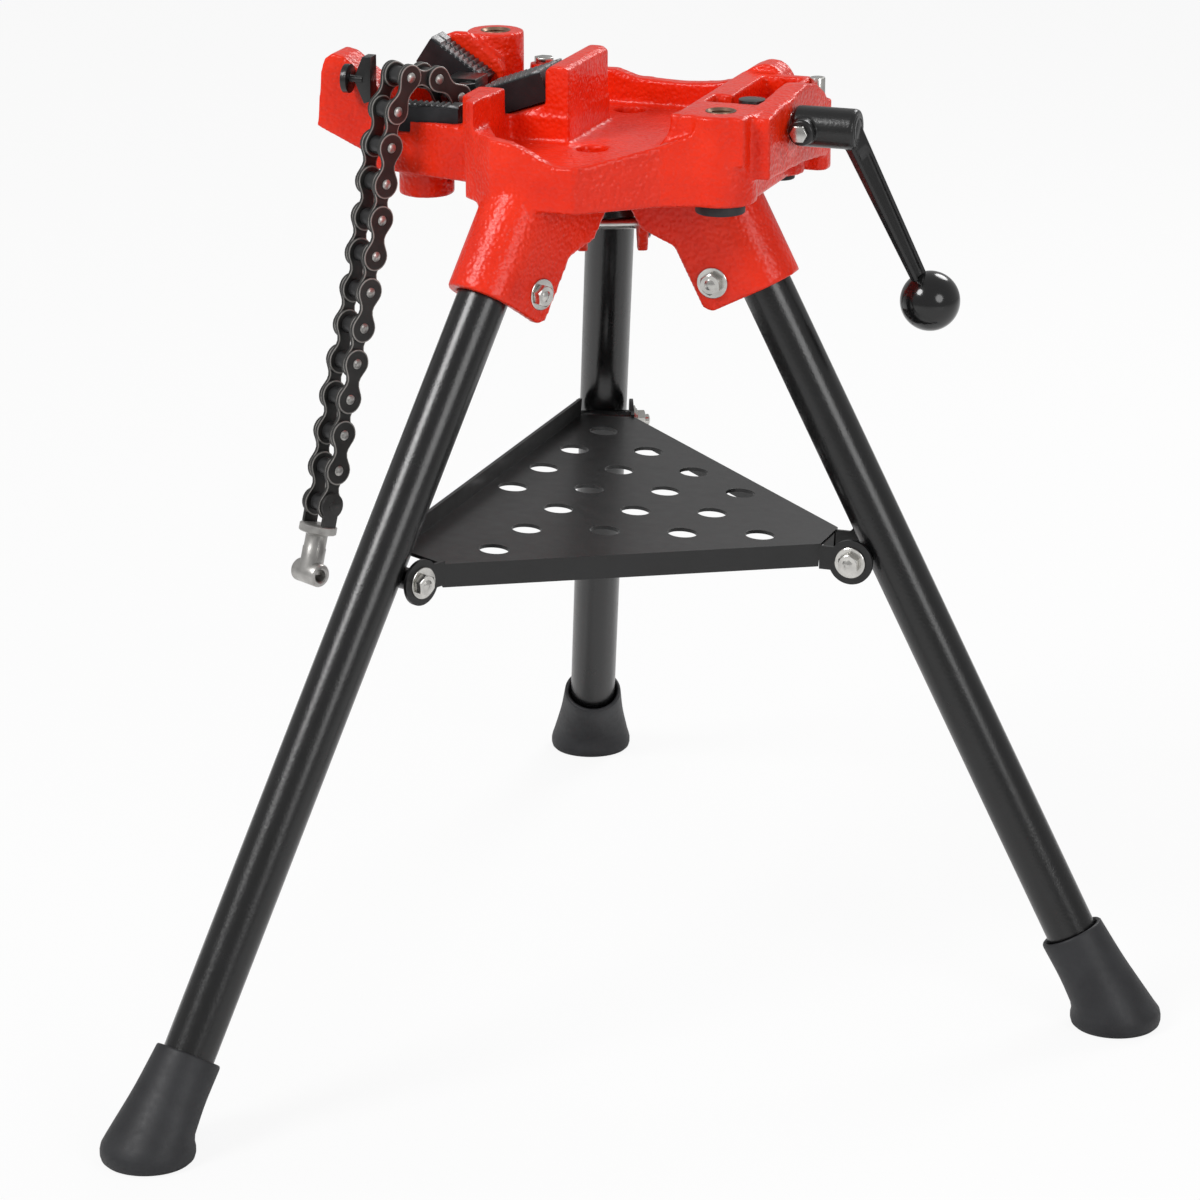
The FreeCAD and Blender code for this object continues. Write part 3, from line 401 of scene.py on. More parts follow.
class Shape(Graph):
    """A geometry tree under construction, with named sizes in metres."""

    def __init__(self, name, sizes):
        super().__init__(bpy.data.node_groups.new(name, "GeometryNodeTree"))
        face = self.tree.interface
        face.new_socket("Geometry", in_out="INPUT", socket_type="NodeSocketGeometry")
        face.new_socket("Geometry", in_out="OUTPUT", socket_type="NodeSocketGeometry")
        self.ids = {}
        for key, value in sizes.items():
            kind = "NodeSocketFloat" if isinstance(value, float) else "NodeSocketObject"
            socket = face.new_socket(key, in_out="INPUT", socket_type=kind)
            if isinstance(value, float):
                socket.default_value = value
            self.ids[key] = socket.identifier
        self.start = self.tree.nodes.new("NodeGroupInput")
        self.stop = self.tree.nodes.new("NodeGroupOutput")

    def size(self, key):
        """One of the tree's own inputs."""
        return Sock(self.tree, self.start.outputs[key])

    def position(self):
        """X, Y and Z of a point, and its distance from the Z axis."""
        split = self.tree.nodes.new("ShaderNodeSeparateXYZ")
        spot = self.node("GeometryNodeInputPosition", {}, {})
        self.tree.links.new(spot.out, split.inputs[0])
        x, y, z = (Sock(self.tree, out) for out in split.outputs)
        return x, y, z, (x * x + y * y).fn("SQRT")

    def drum(self, around, up, rings):
        """A unit cylinder, whose points a formula then places."""
        values = {"Vertices": around, "Side Segments": up, "Fill Segments": rings,
                  "Radius": 1.0, "Depth": 1.0}
        return self.node("GeometryNodeMeshCylinder", {"fill_type": "TRIANGLE_FAN"}, values, "Mesh")

    def placed(self, mesh, x, y, z):
        """A mesh whose points go to the places that three formulas give."""
        spot = self.node("ShaderNodeCombineXYZ", {}, {"X": x, "Y": y, "Z": z})
        return self.node("GeometryNodeSetPosition", {}, {"Geometry": mesh, "Position": spot})

    def marked(self, mesh, name, value):
        """A mesh that stores a number on its points, for its finish to read."""
        settings = {"data_type": "FLOAT", "domain": "POINT"}
        values = {"Geometry": mesh, "Name": name, "Value": value}
        return self.node("GeometryNodeStoreNamedAttribute", settings, values)

    def joined(self, *meshes):
        """Some meshes as one."""
        join = self.tree.nodes.new("GeometryNodeJoinGeometry")
        for mesh in meshes:
            self.tree.links.new(mesh.out, join.inputs[0])
        return Sock(self.tree, join.outputs[0])

    def finished(self, mesh, material):
        """A mesh with its material set."""
        return self.node("GeometryNodeSetMaterial", {}, {"Geometry": mesh, "Material": material})

    def pair(self, mesh, axis, half):
        """Two copies of a mesh, a half distance each way along an axis."""
        zero = {"X": 0.0, "Y": 0.0, "Z": 0.0}
        high = self.node("ShaderNodeCombineXYZ", {}, {**zero, axis: half})
        low = self.node("ShaderNodeCombineXYZ", {}, {**zero, axis: 0.0 - half})
        line = self.node("GeometryNodeMeshLine", {"mode": "END_POINTS"},
                         {"Count": 2, "Start Location": low, "Offset": high})
        return self.node("GeometryNodeInstanceOnPoints", {}, {"Points": line, "Instance": mesh})

    def aimed(self, points, mesh):
        """Copies of a mesh on some points, each turned along its point's aim."""
        aim = self.node("GeometryNodeInputNamedAttribute", {"data_type": "FLOAT_VECTOR"},
                        {"Name": "aim"})
        way = self.node("FunctionNodeAlignRotationToVector", {"axis": "Z"}, {"Vector": aim})
        values = {"Points": points, "Instance": mesh, "Rotation": way}
        return self.node("GeometryNodeInstanceOnPoints", {}, values)

    def end(self, mesh):
        """Make a mesh, with its copies made real, the tree's result."""
        real = self.node("GeometryNodeRealizeInstances", {}, {"Geometry": mesh})
        self.tree.links.new(real.out, self.stop.inputs[0])

    def grow(self, name, base=None, **sizes):
        """A plain mesh that the tree makes at the given sizes."""
        piece = linked(name, base or bpy.data.meshes.new(name))
        modifier = piece.modifiers.new("shape", "NODES")
        modifier.node_group = self.tree
        for key, value in sizes.items():
            modifier[self.ids[key]] = value
        return settle(piece)


def on_rim(reach):
    """1 on a drum's outermost ring, 0 inside it."""
    return reach.fn("GREATER_THAN", RIM_FROM)


def on_end(z):
    """1 on a drum's two ends, 0 between them."""
    return z.fn("ABSOLUTE").fn("GREATER_THAN", END_FROM)


# ---- casting ----------------------------------------------------------------------------
casting = cast("vise_casting", welded("vise_base"), voxel=1.9 * MM, passes=5, keep=0.55)
fit(casting, "stand", RED, ("vise_base",), sharp=None)

POSTS = [Vector((-0.140, 0.082, 0.795)), Vector((0.104, -0.0515, 0.769))]
POST_BORE = 10.4 * MM
# How far the threaded sleeve reaches into the casting, beyond its bore.
THREAD_WALL = 2.4 * MM
THREAD_TURNS = 12
THREAD_PITCH = 2.5 * MM
THREAD_DEPTH = 1.2 * MM
# The machined mouth stands this far proud of its post, from this far down.
MOUTH_RISE, MOUTH_SINK = 0.2 * MM, 0.6 * MM


def post_threads():
    """The bare threads cut in the two posts, with a machined edge round each mouth."""
    work = bmesh.new()
    for top in POSTS:
        outer, depth = POST_BORE + THREAD_WALL, -MOUTH_SINK
        profile = [(-MOUTH_SINK, outer), (MOUTH_RISE, outer - 0.3 * MM),
                   (MOUTH_RISE, POST_BORE + 0.8 * MM)]
        for _ in range(THREAD_TURNS):
            profile += [(depth, POST_BORE), (depth - THREAD_PITCH / 2, POST_BORE - THREAD_DEPTH)]
            depth -= THREAD_PITCH
        profile += [(depth, outer)]
        turn(work, top + SHIFT, UP, profile, count=40, looped=True)
    return fit(from_bmesh("post_threads", work), "stand", BARE)


post_threads()

# ---- legs and feet ----------------------------------------------------------------------
# The way out from the stand's axis and the splay, in degrees, and the sole's distance in metres.
LEGS = {"left": (-111.9, 32.5, 0.5665), "back": (111.9, 32.5, 0.5665), "right": (0.0, 27.1, 0.442)}
FOOT_POINTS = 64
FOOT_RADIUS = 38 * MM
FOOT_RIM = 27 * MM
FOOT_HEIGHT = 88 * MM
# The sides are hollowed by this much, towards a point this far up the foot's own line.
FOOT_HOLLOW, FOOT_CENTER = 1.0 * MM, 50 * MM
# The sole's rolled edge as height and growth of the radius, in millimetres.
SOLE_EDGE = ((0, -5), (0.6, -3), (2.5, -1), (6, 0), (10, 0), (14, -0.9))
# The rim's rolled edge as rise and radius, in millimetres, and then down the bore.
RIM_EDGE = ((-1.2, 26.8), (-0.2, 26), (0, 25), (-0.3, 23.9), (-1.5, 23), (-14, 22.4))
# The straight sides start this high, this far towards the stand's axis, on a circle this much
# smaller than the sole, and end this far short of the rim.
SIDE_LOW, SIDE_SHIFT, SIDE_IN, SIDE_SHORT = 20 * MM, 3 * MM, 2.6 * MM, 3 * MM
SIDE_STEPS = 7


def rubber_foot(name):
    """A flared foot: level sole, rolled edge, straight sides, and a rim square to the pipe."""
    azimuth, splay, reach = LEGS[name]
    turned, lean = math.radians(azimuth), math.radians(splay)
    out = Vector((math.cos(turned), math.sin(turned), 0))
    side = Vector((-out.y, out.x, 0))
    axis = -out * math.sin(lean) + UP * math.cos(lean)
    inboard = -out * math.cos(lean) - UP * math.sin(lean)
    base = SHIFT + out * reach

    def level(place, radius):
        return ring(place, -out, side, radius, FOOT_POINTS)

    def square(along, radius):
        return ring(base + axis * along, inboard, side, radius, FOOT_POINTS)

    rings = [level(base + UP * z * MM, FOOT_RADIUS + grown * MM) for z, grown in SOLE_EDGE]
    low = level(base + UP * SIDE_LOW - out * SIDE_SHIFT, FOOT_RADIUS - SIDE_IN)
    high = square(FOOT_HEIGHT - SIDE_SHORT, FOOT_RIM)
    center = base + axis * FOOT_CENTER
    for i in range(SIDE_STEPS + 1):
        share = i / SIDE_STEPS
        hollow = FOOT_HOLLOW * math.sin(math.pi * share)
        points = [a.lerp(b, share) for a, b in zip(low, high)]
        rings.append([point - (point - center).normalized() * hollow for point in points])
    rings += [square(FOOT_HEIGHT + rise * MM, radius * MM) for rise, radius in RIM_EDGE]
    work = bmesh.new()
    loft(work, rings)
    piece = from_bmesh("foot_%s_moulded" % name, work)
    return fit(piece, "stand", RUBBER, ("rubber_foot_" + name,), sharp=50)


for leg_name in LEGS:
    rubber_foot(leg_name)
    dress(NODES["leg_tube_" + leg_name].data, TUBE, SHARP)

# ---- fasteners --------------------------------------------------------------------------
# The radius of a hexagon's flat end as a share of its width, and the slope from there to its
# corners.
FACE_SHARE, CORNER_SLOPE = 0.48, 0.55
# A rod's side stops this share of its dome short of its ends, which are narrower by this share.
ROD_SHORT, ROD_NARROW = 0.4, 0.08
BOLT_DOME = 1.2 * MM
# A nut's flange: its height, and how much narrower it is at its top.
SKIRT_HIGH, SKIRT_TAPER = 2.6 * MM, 1.6 * MM
# A washer's rounded edge: how far in from its side, and how far down from its faces.
WASHER_IN, WASHER_DOWN = 0.5 * MM, 0.35 * MM


def islands(node):
    """Points of each separate solid of a node, in the order of the node's own points."""
    work = welded(node)
    found, groups = set(), []
    for seed in work.verts:
        if seed in found:
            continue
        found.add(seed)
        stack, group = [seed], []
        while stack:
            vert = stack.pop()
            group.append(vert.co.copy())
            for edge in vert.link_edges:
                other = edge.other_vert(vert)
                if other not in found:
                    found.add(other)
                    stack.append(other)
        groups.append(group)
    work.free()
    return groups


def middle(points):
    """The middle of the box round some points."""
    low = Vector([min(p[i] for p in points) for i in range(3)])
    high = Vector([max(p[i] for p in points) for i in range(3)])
    return (low + high) / 2


def hexagon_radius(x, y, flats):
    """Distance from the axis to the side of a hexagon, in the direction of a point."""
    sector = math.pi / 3
    angle = y.fn("ARCTAN2", x) + math.tau + sector / 2
    return flats / 2 / (angle.fn("FLOORED_MODULO", sector) - sector / 2).fn("COSINE")


def hexagon(shape, flats, high):
    """A hexagon nut or head about its middle, its corners turned off at both ends."""
    drum = shape.drum(around=48, up=1, rings=2)
    x, y, z, reach = shape.position()
    far = hexagon_radius(x, y, flats)
    outer = on_rim(reach)
    circle = flats * FACE_SHARE
    radius = far * outer + circle * (1 - outer)
    drop = (far - circle) * CORNER_SLOPE * outer
    side = reach.fn("MAXIMUM", AXIS_GAP)
    inner = reach.fn("GREATER_THAN", 0.2)
    return shape.placed(drum, x / side * radius * inner, y / side * radius * inner,
                        z.fn("SIGN") * (high / 2 - drop))


def rod(shape, radius, long, dome):
    """A round rod about its middle with domed ends."""
    drum = shape.drum(around=28, up=3, rings=4)
    x, y, z, reach = shape.position()
    end = on_end(z)
    crown = dome * (1 - reach * reach) * end
    edge = long / 2 - dome * ROD_SHORT * (1 - end)
    wide = radius * (1 - ROD_NARROW * end)
    return shape.placed(drum, x * wide, y * wide, z.fn("SIGN") * (edge + crown))


def plated(shape, mesh):
    """End a tree with zinc plated copies of a mesh on the points of the piece."""
    shape.end(shape.finished(shape.aimed(shape.size("Geometry"), mesh), ZINC))
    return shape


def flanged_nut():
    """A hexagon nut on a round flange that tapers up to it."""
    shape = Shape("flanged_nut", {"Flats": 16 * MM, "Height": 9 * MM, "Flange": 10.5 * MM})
    high = shape.size("Height")
    nut = hexagon(shape, shape.size("Flats"), high)
    skirt = shape.drum(around=48, up=3, rings=1)
    x, y, z, _ = shape.position()
    top = z.fn("GREATER_THAN", 0.3)
    radius = shape.size("Flange") - SKIRT_TAPER * top
    height = z * SKIRT_HIGH - (high / 2 - SKIRT_HIGH / 2)
    skirt = shape.placed(skirt, x * radius, y * radius, height)
    return plated(shape, shape.joined(nut, skirt))


def plain_washer():
    """A flat disc with a rounded edge; its bolt covers its hole."""
    shape = Shape("plain_washer", {"Radius": 13 * MM, "Thickness": 2 * MM})
    disc = shape.drum(around=64, up=3, rings=2)
    x, y, z, _ = shape.position()
    end = on_end(z)
    radius = shape.size("Radius") - WASHER_IN * end
    edge = shape.size("Thickness") / 2 - WASHER_DOWN * (1 - end)
    return plated(shape, shape.placed(disc, x * radius, y * radius, z.fn("SIGN") * edge))


def cross_bolt():
    """A bolt about the middle of its shank: head at the low end, domed tip at the high end."""
    shape = Shape("cross_bolt", {"Length": 60 * MM, "Radius": 5 * MM, "Flats": 16 * MM,
                                 "Head": 6.5 * MM})
    long, head = shape.size("Length"), shape.size("Head")
    shank = rod(shape, shape.size("Radius"), long, BOLT_DOME)
    cap = hexagon(shape, shape.size("Flats"), head)
    down = (long / 2 - head / 2) * -1.0
    low = shape.node("ShaderNodeCombineXYZ", {}, {"X": 0.0, "Y": 0.0, "Z": down})
    cap = shape.node("GeometryNodeTransform", {}, {"Geometry": cap, "Translation": low})
    return plated(shape, shape.joined(shank, cap))


def points_mesh(name, spots):
    """A mesh of loose points that carry an aim."""
    mesh = bpy.data.meshes.new(name)
    mesh.from_pydata([spot for spot, _ in spots], [], [])
    aim = mesh.attributes.new("aim", "FLOAT_VECTOR", "POINT")
    for item, (_, way) in zip(aim.data, spots):
        item.vector = way
    return mesh


NUT, WASHER, BOLT = flanged_nut(), plain_washer(), cross_bolt()


def fastener_group(group):
    """The bolts, nuts and washers of one group, where their CAD nodes are."""
    nuts = [middle(points) for points in islands(group + "_nuts")]
    washers = [middle(points) for points in islands(group + "_washers")]
    ways, spans = [], []
    for points in islands(group + "_bolts"):
        center = middle(points)
        nut = min(nuts, key=lambda spot: (spot - center).length)
        way = (nut - center).normalized()
        reach = [(point - center).dot(way) for point in points]
        ways.append((center + way * (max(reach) + min(reach)) / 2, way))
        spans.append(max(reach) - min(reach))

    def with_way(spots):
        """Each spot with the way of the bolt nearest to it."""
        return [(spot, min(ways, key=lambda pair: (pair[0] - spot).length)[1]) for spot in spots]

    kinds = (("nuts", NUT, "_flanged", with_way(nuts), {}),
             ("washers", WASHER, "_plain", with_way(washers), {}),
             ("bolts", BOLT, "_turned", ways, {"Length": sum(spans) / len(spans)}))
    for kind, tree, ending, spots, sizes in kinds:
        node = group + "_" + kind
        piece = tree.grow(node + ending, points_mesh(kind, spots), **sizes)
        fit(piece, "stand", None, (node,), sharp=25)


fastener_group("socket")
fastener_group("tray")

# ---- tray -------------------------------------------------------------------------------
HOLE_RADIUS = 12.5 * MM
HOLE_PITCH = 65 * MM
HOLE_TURN = math.radians(26)
HOLE_START = (0.4, 0.5)
HOLE_EDGE = 22 * MM
HOLE_ROWS = range(-6, 7)
# How near a point is to the sheet's plane, and two points to each other, to count as on it.
ON_PLANE, SAME_SPOT = 0.05 * MM, 1e-6
CORNER_LIMIT = 300
# A face this upright to the sheet, and this far in from its edge, is the wall of a CAD hole.
WALL_TILT, WALL_INSET = 0.3, 12 * MM


def tray_plane():
    """A point on the tray's sheet and its upward normal, from its widest face."""
    faces = [face for face in NODES["tray"].data.polygons if face.normal.z > 0.9]
    widest = max(faces, key=lambda face: face.area)
    return widest.center.copy(), widest.normal.copy()


def tray_outline(spot, normal):
    """The corners of the sheet's outer edge, in order round its middle."""
    mesh = NODES["tray"].data
    on = [v.co.copy() for v in mesh.vertices if abs((v.co - spot).dot(normal)) < ON_PLANE]
    hull = []
    start = min(on, key=lambda p: (p.x, p.y))
    at = start
    while True:
        hull.append(at)
        after = on[0]
        for point in on:
            cross = (after.x - at.x) * (point.y - at.y) - (after.y - at.y) * (point.x - at.x)
            if (after - at).length < SAME_SPOT or cross < 0:
                after = point
        at = after
        if (at - start).length < SAME_SPOT or len(hull) > CORNER_LIMIT:
            return hull


def inside(x, y, outline, edge):
    """Whether a point seen from above is inside an outline, by at least an edge's width."""
    for a, b in zip(outline, outline[1:] + outline[:1]):
        run = math.hypot(b.x - a.x, b.y - a.y)
        if run > 1e-5 and ((b.x - a.x) * (y - a.y) - (b.y - a.y) * (x - a.x)) / run < edge:
            return False
    return True


def hole_places(spot, normal, outline):
    """Where staggered rows of holes fit on the sheet."""
    row, step = (Vector((math.cos(turned), math.sin(turned), 0)) * HOLE_PITCH
                 for turned in (HOLE_TURN, HOLE_TURN + math.pi / 3))
    places = []
    for i in HOLE_ROWS:
        for j in HOLE_ROWS:
            flat = SHIFT + row * (i + HOLE_START[0]) + step * (j + HOLE_START[1])
            if inside(flat.x, flat.y, outline, HOLE_EDGE):
                rise = (spot - flat).dot(normal) / normal.z
                places.append((flat + Vector((0, 0, rise)), normal))
    return places


def punched_sheet():
    """A tree that punches a round hole at each aimed point of another piece."""
    shape = Shape("punched_sheet", {"Radius": HOLE_RADIUS, "Depth": 12 * MM, "Places": None})
    places = shape.node("GeometryNodeObjectInfo", {}, {"Object": shape.size("Places")}, "Geometry")
    sizes = {"Vertices": 48, "Radius": shape.size("Radius"), "Depth": shape.size("Depth")}
    punch = shape.node("GeometryNodeMeshCylinder", {}, sizes, "Mesh")
    punches = shape.node("GeometryNodeRealizeInstances", {},
                         {"Geometry": shape.aimed(places, punch)})
    cut = shape.node("GeometryNodeMeshBoolean", {"operation": "DIFFERENCE", "solver": "EXACT"},
                     {"Mesh 1": shape.size("Geometry"), "Mesh 2": punches}, "Mesh")
    shape.end(shape.finished(cut, SHEET))
    return shape


def tray():
    """The folded tray: its CAD holes closed, then round holes punched and its edges broken."""
    spot, normal = tray_plane()
    outline = tray_outline(spot, normal)
    work = welded("tray")
    walls = []
    for face in work.faces:
        at = face.calc_center_median()
        upright = abs(face.normal.dot(normal)) < WALL_TILT
        if upright and inside(at.x, at.y, outline, WALL_INSET):
            walls.append(face)
    bmesh.ops.delete(work, geom=walls, context="FACES")
    bmesh.ops.holes_fill(work, edges=[edge for edge in work.edges if edge.is_boundary], sides=0)
    flat_faces(work)
    sheet = from_bmesh("tray_sheet", work)
    places = points_mesh("tray_hole_places", hole_places(spot, normal, outline))
    marks = linked("tray_hole_places", places)
    piece = punched_sheet().grow("tray_punched", sheet.data, Places=marks)
    bpy.data.objects.remove(marks)
    bpy.data.objects.remove(sheet)
    broken_edges(piece, width=0.5 * MM, segments=2)
    fit(piece, "stand", None, ("tray",), sharp=12)


tray()

# ---- crank ------------------------------------------------------------------------------
AXIS = Vector((1, 0, 0))
HUB_RADIUS = 16.75 * MM
HUB_LONG = 53 * MM
BALL_RADIUS = 25 * MM
BALL_STEPS = 40
# The hub's rounded ends as distance in from the end and drop of the radius, in millimetres.
HUB_INNER_END = ((0, 2), (1, 0.6), (3, 0))
HUB_OUTER_END = ((3, 0), (1, 0.7), (0, 2.2))
# The clamp lug: how far out it reaches, its radius, the radius of its tip, and how far it is
# from the hub's inner end.
CLAMP_OUT, CLAMP_RADIUS, CLAMP_TIP, CLAMP_ALONG = 25 * MM, 11 * MM, 9.5 * MM, 11 * MM
ARM_ROOT = 8 * MM
ARM_STEPS = 26
ARM_WIDE, ARM_NARROW = 20 * MM, 14 * MM
ARM_THICK, ARM_THIN = 11 * MM, 8 * MM
# The channel faces this much to the side.
ARM_TURN = math.radians(28)
ARM_FACE = Vector((math.cos(ARM_TURN), -math.sin(ARM_TURN), 0))
# The channel's depth, the lip beside it, its sloping wall and the arm's rounded corner.
GROOVE_DEPTH, GROOVE_LIP, GROOVE_WALL, ARM_CORNER = 3.4 * MM, 3.1 * MM, 1.6 * MM, 1.6 * MM
# How far from the arm's root the channel starts, and over what length it deepens and runs out.
GROOVE_START, GROOVE_DEEPEN, GROOVE_FADE = 19 * MM, 9 * MM, 12 * MM
# The hub's outer face as distance along the axis and radius, in millimetres: a raised rim, a
# ring groove, and the screw's end within it.
HUB_FACE = ((-2, 12.6), (0.1, 12.6), (0.5, 12.2), (0.5, 9.4), (-0.6, 9.2), (-0.6, 8.8),
            (0.2, 8.5), (0.7, 7.6), (0.9, 0.5))


def far_end(node, inset):
    """The point on a node's middle line that is an inset short of its far end along X."""
    low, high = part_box(node)
    return Vector((high.x - inset, (low.y + high.y) / 2, (low.z + high.z) / 2))


HUB_END = far_end("vise_screw", -2 * MM)
KNOB_AT = far_end("crank_knob", BALL_RADIUS)
ARM_START = HUB_END - AXIS * ARM_ROOT


def crank_arm(work):
    """A tapered arm with a channel down both faces, from the hub to the knob."""
    run = KNOB_AT - ARM_START
    long = run.length - BALL_RADIUS * 0.75
    way = run.normalized()
    wide = way.cross(ARM_FACE).normalized()
    thick = wide.cross(way).normalized()
    rings = []
    for i in range(ARM_STEPS + 1):
        share = i / ARM_STEPS
        edge = (ARM_WIDE + (ARM_NARROW - ARM_WIDE) * share) / 2
        face = (ARM_THICK + (ARM_THIN - ARM_THICK) * share) / 2
        begun = max(0.0, (share * long - GROOVE_START) / GROOVE_DEEPEN)
        left = max(0.0, (1.02 - share) * long / GROOVE_FADE)
        floor = face - GROOVE_DEPTH * min(1.0, begun, left)
        lip = edge - GROOVE_LIP
        foot = lip - GROOVE_WALL
        side = [(edge, face - ARM_CORNER), (edge - ARM_CORNER, face), (lip, face), (foot, floor)]
        half = side + [(-x, y) for x, y in reversed(side)]
        section = half + [(-x, -y) for x, y in half]
        rings.append([ARM_START + way * share * long + wide * x + thick * y for x, y in section])
    loft(work, rings)


def crank():
    """The forged handle: hub, clamp lug and arm melted together, and the screw's end in the hub."""
    work = bmesh.new()
    profile = [(along * MM, HUB_RADIUS - drop * MM) for along, drop in HUB_INNER_END]
    profile += [(HUB_LONG - along * MM, HUB_RADIUS - drop * MM) for along, drop in HUB_OUTER_END]
    turn(work, HUB_END - AXIS * HUB_LONG, AXIS, profile)
    crank_arm(work)
    lug_at = HUB_END - AXIS * (HUB_LONG - CLAMP_ALONG) - UP * MM
    turn(work, lug_at, Vector((0, -1, 0)),
         [(0, CLAMP_RADIUS), (CLAMP_OUT - 2 * MM, CLAMP_RADIUS), (CLAMP_OUT, CLAMP_TIP)])
    body = cast("crank_forging", work, voxel=0.7 * MM, passes=4, keep=0.5)
    fit(body, "crank", FORGING, ("crank_handle",), sharp=None)
    face = bmesh.new()
    turn(face, HUB_END, AXIS, [(along * MM, radius * MM) for along, radius in HUB_FACE])
    fit(from_bmesh("hub_face", face), "crank", FORGING)


def knob():
    """The ball, turned about the arm's own line."""
    way = (KNOB_AT - ARM_START).normalized()
    angles = [math.pi * i / BALL_STEPS for i in range(BALL_STEPS + 1)]
    profile = [(-BALL_RADIUS * math.cos(a), max(BALL_RADIUS * math.sin(a), 0.1 * MM))
               for a in angles]
    work = bmesh.new()
    turn(work, KNOB_AT, way, profile, count=64)
    fit(from_bmesh("knob_ball", work), "crank", KNOB, ("crank_knob",), sharp=None)


crank()
knob()
bevelled("crank_clamp_bolt", 0.5 * MM, ZINC)
bevelled("vise_screw", 0.8 * MM, ZINC)

# ---- jaws, yoke and small pieces --------------------------------------------------------
VEE = SHIFT + Vector((-0.123, 0, 0.764))
NEAR_TOP = SHIFT + Vector((0, 0, 0.762))
# The wear and painted highlight on a jaw reach this far down from its ridge tips.
WEAR_AND_HIGHLIGHT_DEPTH = 1.2 * MM


def facing(slope, sign):
    """The outward normal of a jaw face that rises at a slope, towards -X or +X."""
    lean = math.radians(slope)
    return Vector((-sign * math.sin(lean), 0, math.cos(lean)))


def jaw_with_wear_and_highlight(node, top, normal):
    """A jaw with its edges broken and its ridge tips marked for wear and a painted highlight."""
    piece = bevelled(node, 0.3 * MM, JAW, segments=1)
    worn = piece.data.attributes.new("worn", "FLOAT", "POINT")
    for item, vert in zip(worn.data, piece.data.vertices):
        below = (top - vert.co).dot(normal)
        item.value = min(1.0, max(0.0, 1.0 - below / WEAR_AND_HIGHLIGHT_DEPTH))


jaw_with_wear_and_highlight("jaw_front_far", VEE, facing(33, -1))
jaw_with_wear_and_highlight("jaw_rear", VEE, facing(20, 1))
jaw_with_wear_and_highlight("jaw_front_near", NEAR_TOP, UP)
bevelled("chain_yoke", 1.0 * MM, FORGING)
bevelled("draw_nut", 0.8 * MM, FORGING)
bevelled("drawbar", 0.8 * MM, FORGING)
bevelled("post_pad", 1.5 * MM, RUBBER, segments=3)
bevelled("boss_plug", 1.2 * MM, RUBBER, segments=3)
bevelled("horn_wing", 1.2 * MM, FORGING, segments=3)
bevelled("boss_bolts", 0.6 * MM, ZINC)

# ---- chain ------------------------------------------------------------------------------
LINKS = sorted(node for node in NODES if node.startswith("chain_link_"))
# The plates' distance from the middle, on the links with pins and on those with rollers.
OUTER_OFFSET, INNER_OFFSET = 12 * MM, 9 * MM
# The first links are narrower, because they pass between the jaws.
NARROW_LINKS, NARROW_PLATE, WIDE_PLATE = 4, 10.9 * MM, 12.2 * MM
# A plate's inner ring of points is this far in from its edge, and a pin's head this high.
PLATE_RING, PIN_DOME = 1.1 * MM, 1.1 * MM
# A roller's rounded rim, and its play between the plates.
ROLLER_ROUND, ROLLER_PLAY = 0.6 * MM, 0.3 * MM


def link_shape(pinned):
    """A chain link about its middle: X along the chain and Z along the pins."""
    sizes = {"Half pitch": 15 * MM, "Plate radius": 10.75 * MM, "Waist": 6.3 * MM,
             "Thickness": 3 * MM, "Chamfer": 0.5 * MM, "Plate offset": 12 * MM,
             "Pin radius": 4.2 * MM, "Pin half": 14.3 * MM, "Roller radius": 7.5 * MM}
    shape = Shape("outer_link" if pinned else "inner_link", sizes)
    half, radius = shape.size("Half pitch"), shape.size("Plate radius")
    chamfer = shape.size("Chamfer")
    disc = shape.drum(around=48, up=3, rings=2)
    x, y, z, reach = shape.position()
    outer, end = on_rim(reach), on_end(z)
    lobe = radius - chamfer * end - PLATE_RING * (1 - outer)
    along = (half + lobe) * x / reach.fn("MAXIMUM", AXIS_GAP)
    away = along.fn("ABSOLUTE")
    past = (away - half).fn("MAXIMUM", 0.0)
    arch = (lobe * lobe - past * past).fn("MAXIMUM", 0.0).fn("SQRT")
    swing = ((away / half).fn("MINIMUM", 1.0) * math.pi).fn("COSINE")
    dip = (radius - shape.size("Waist")) * (0.5 + 0.5 * swing)
    height = z.fn("SIGN") * (shape.size("Thickness") / 2 - chamfer * (1 - end))
    # The chamfered rims are marked for a lighter tone: polished wear and a painted highlight.
    plate = shape.marked(disc, "rim", outer * end)
    plate = shape.placed(plate, along, (arch - dip) * y.fn("SIGN"), height)
    plates = shape.finished(shape.pair(plate, "Z", shape.size("Plate offset")), PLATE)
    if pinned:
        metal = PIN
        post = rod(shape, shape.size("Pin radius"), shape.size("Pin half") * 2, PIN_DOME)
    else:
        metal = ROLLER
        post = shape.drum(around=36, up=3, rings=2)
        x, y, z, _ = shape.position()
        end = on_end(z)
        radius = shape.size("Roller radius") - ROLLER_ROUND * end
        inner = shape.size("Plate offset") - shape.size("Thickness") / 2 - ROLLER_PLAY
        height = z.fn("SIGN") * (inner - ROLLER_ROUND * (1 - end))
        post = shape.placed(post, x * radius, y * radius, height)
    posts = shape.finished(shape.pair(post, "X", half), metal)
    shape.end(shape.joined(plates, posts))
    return shape


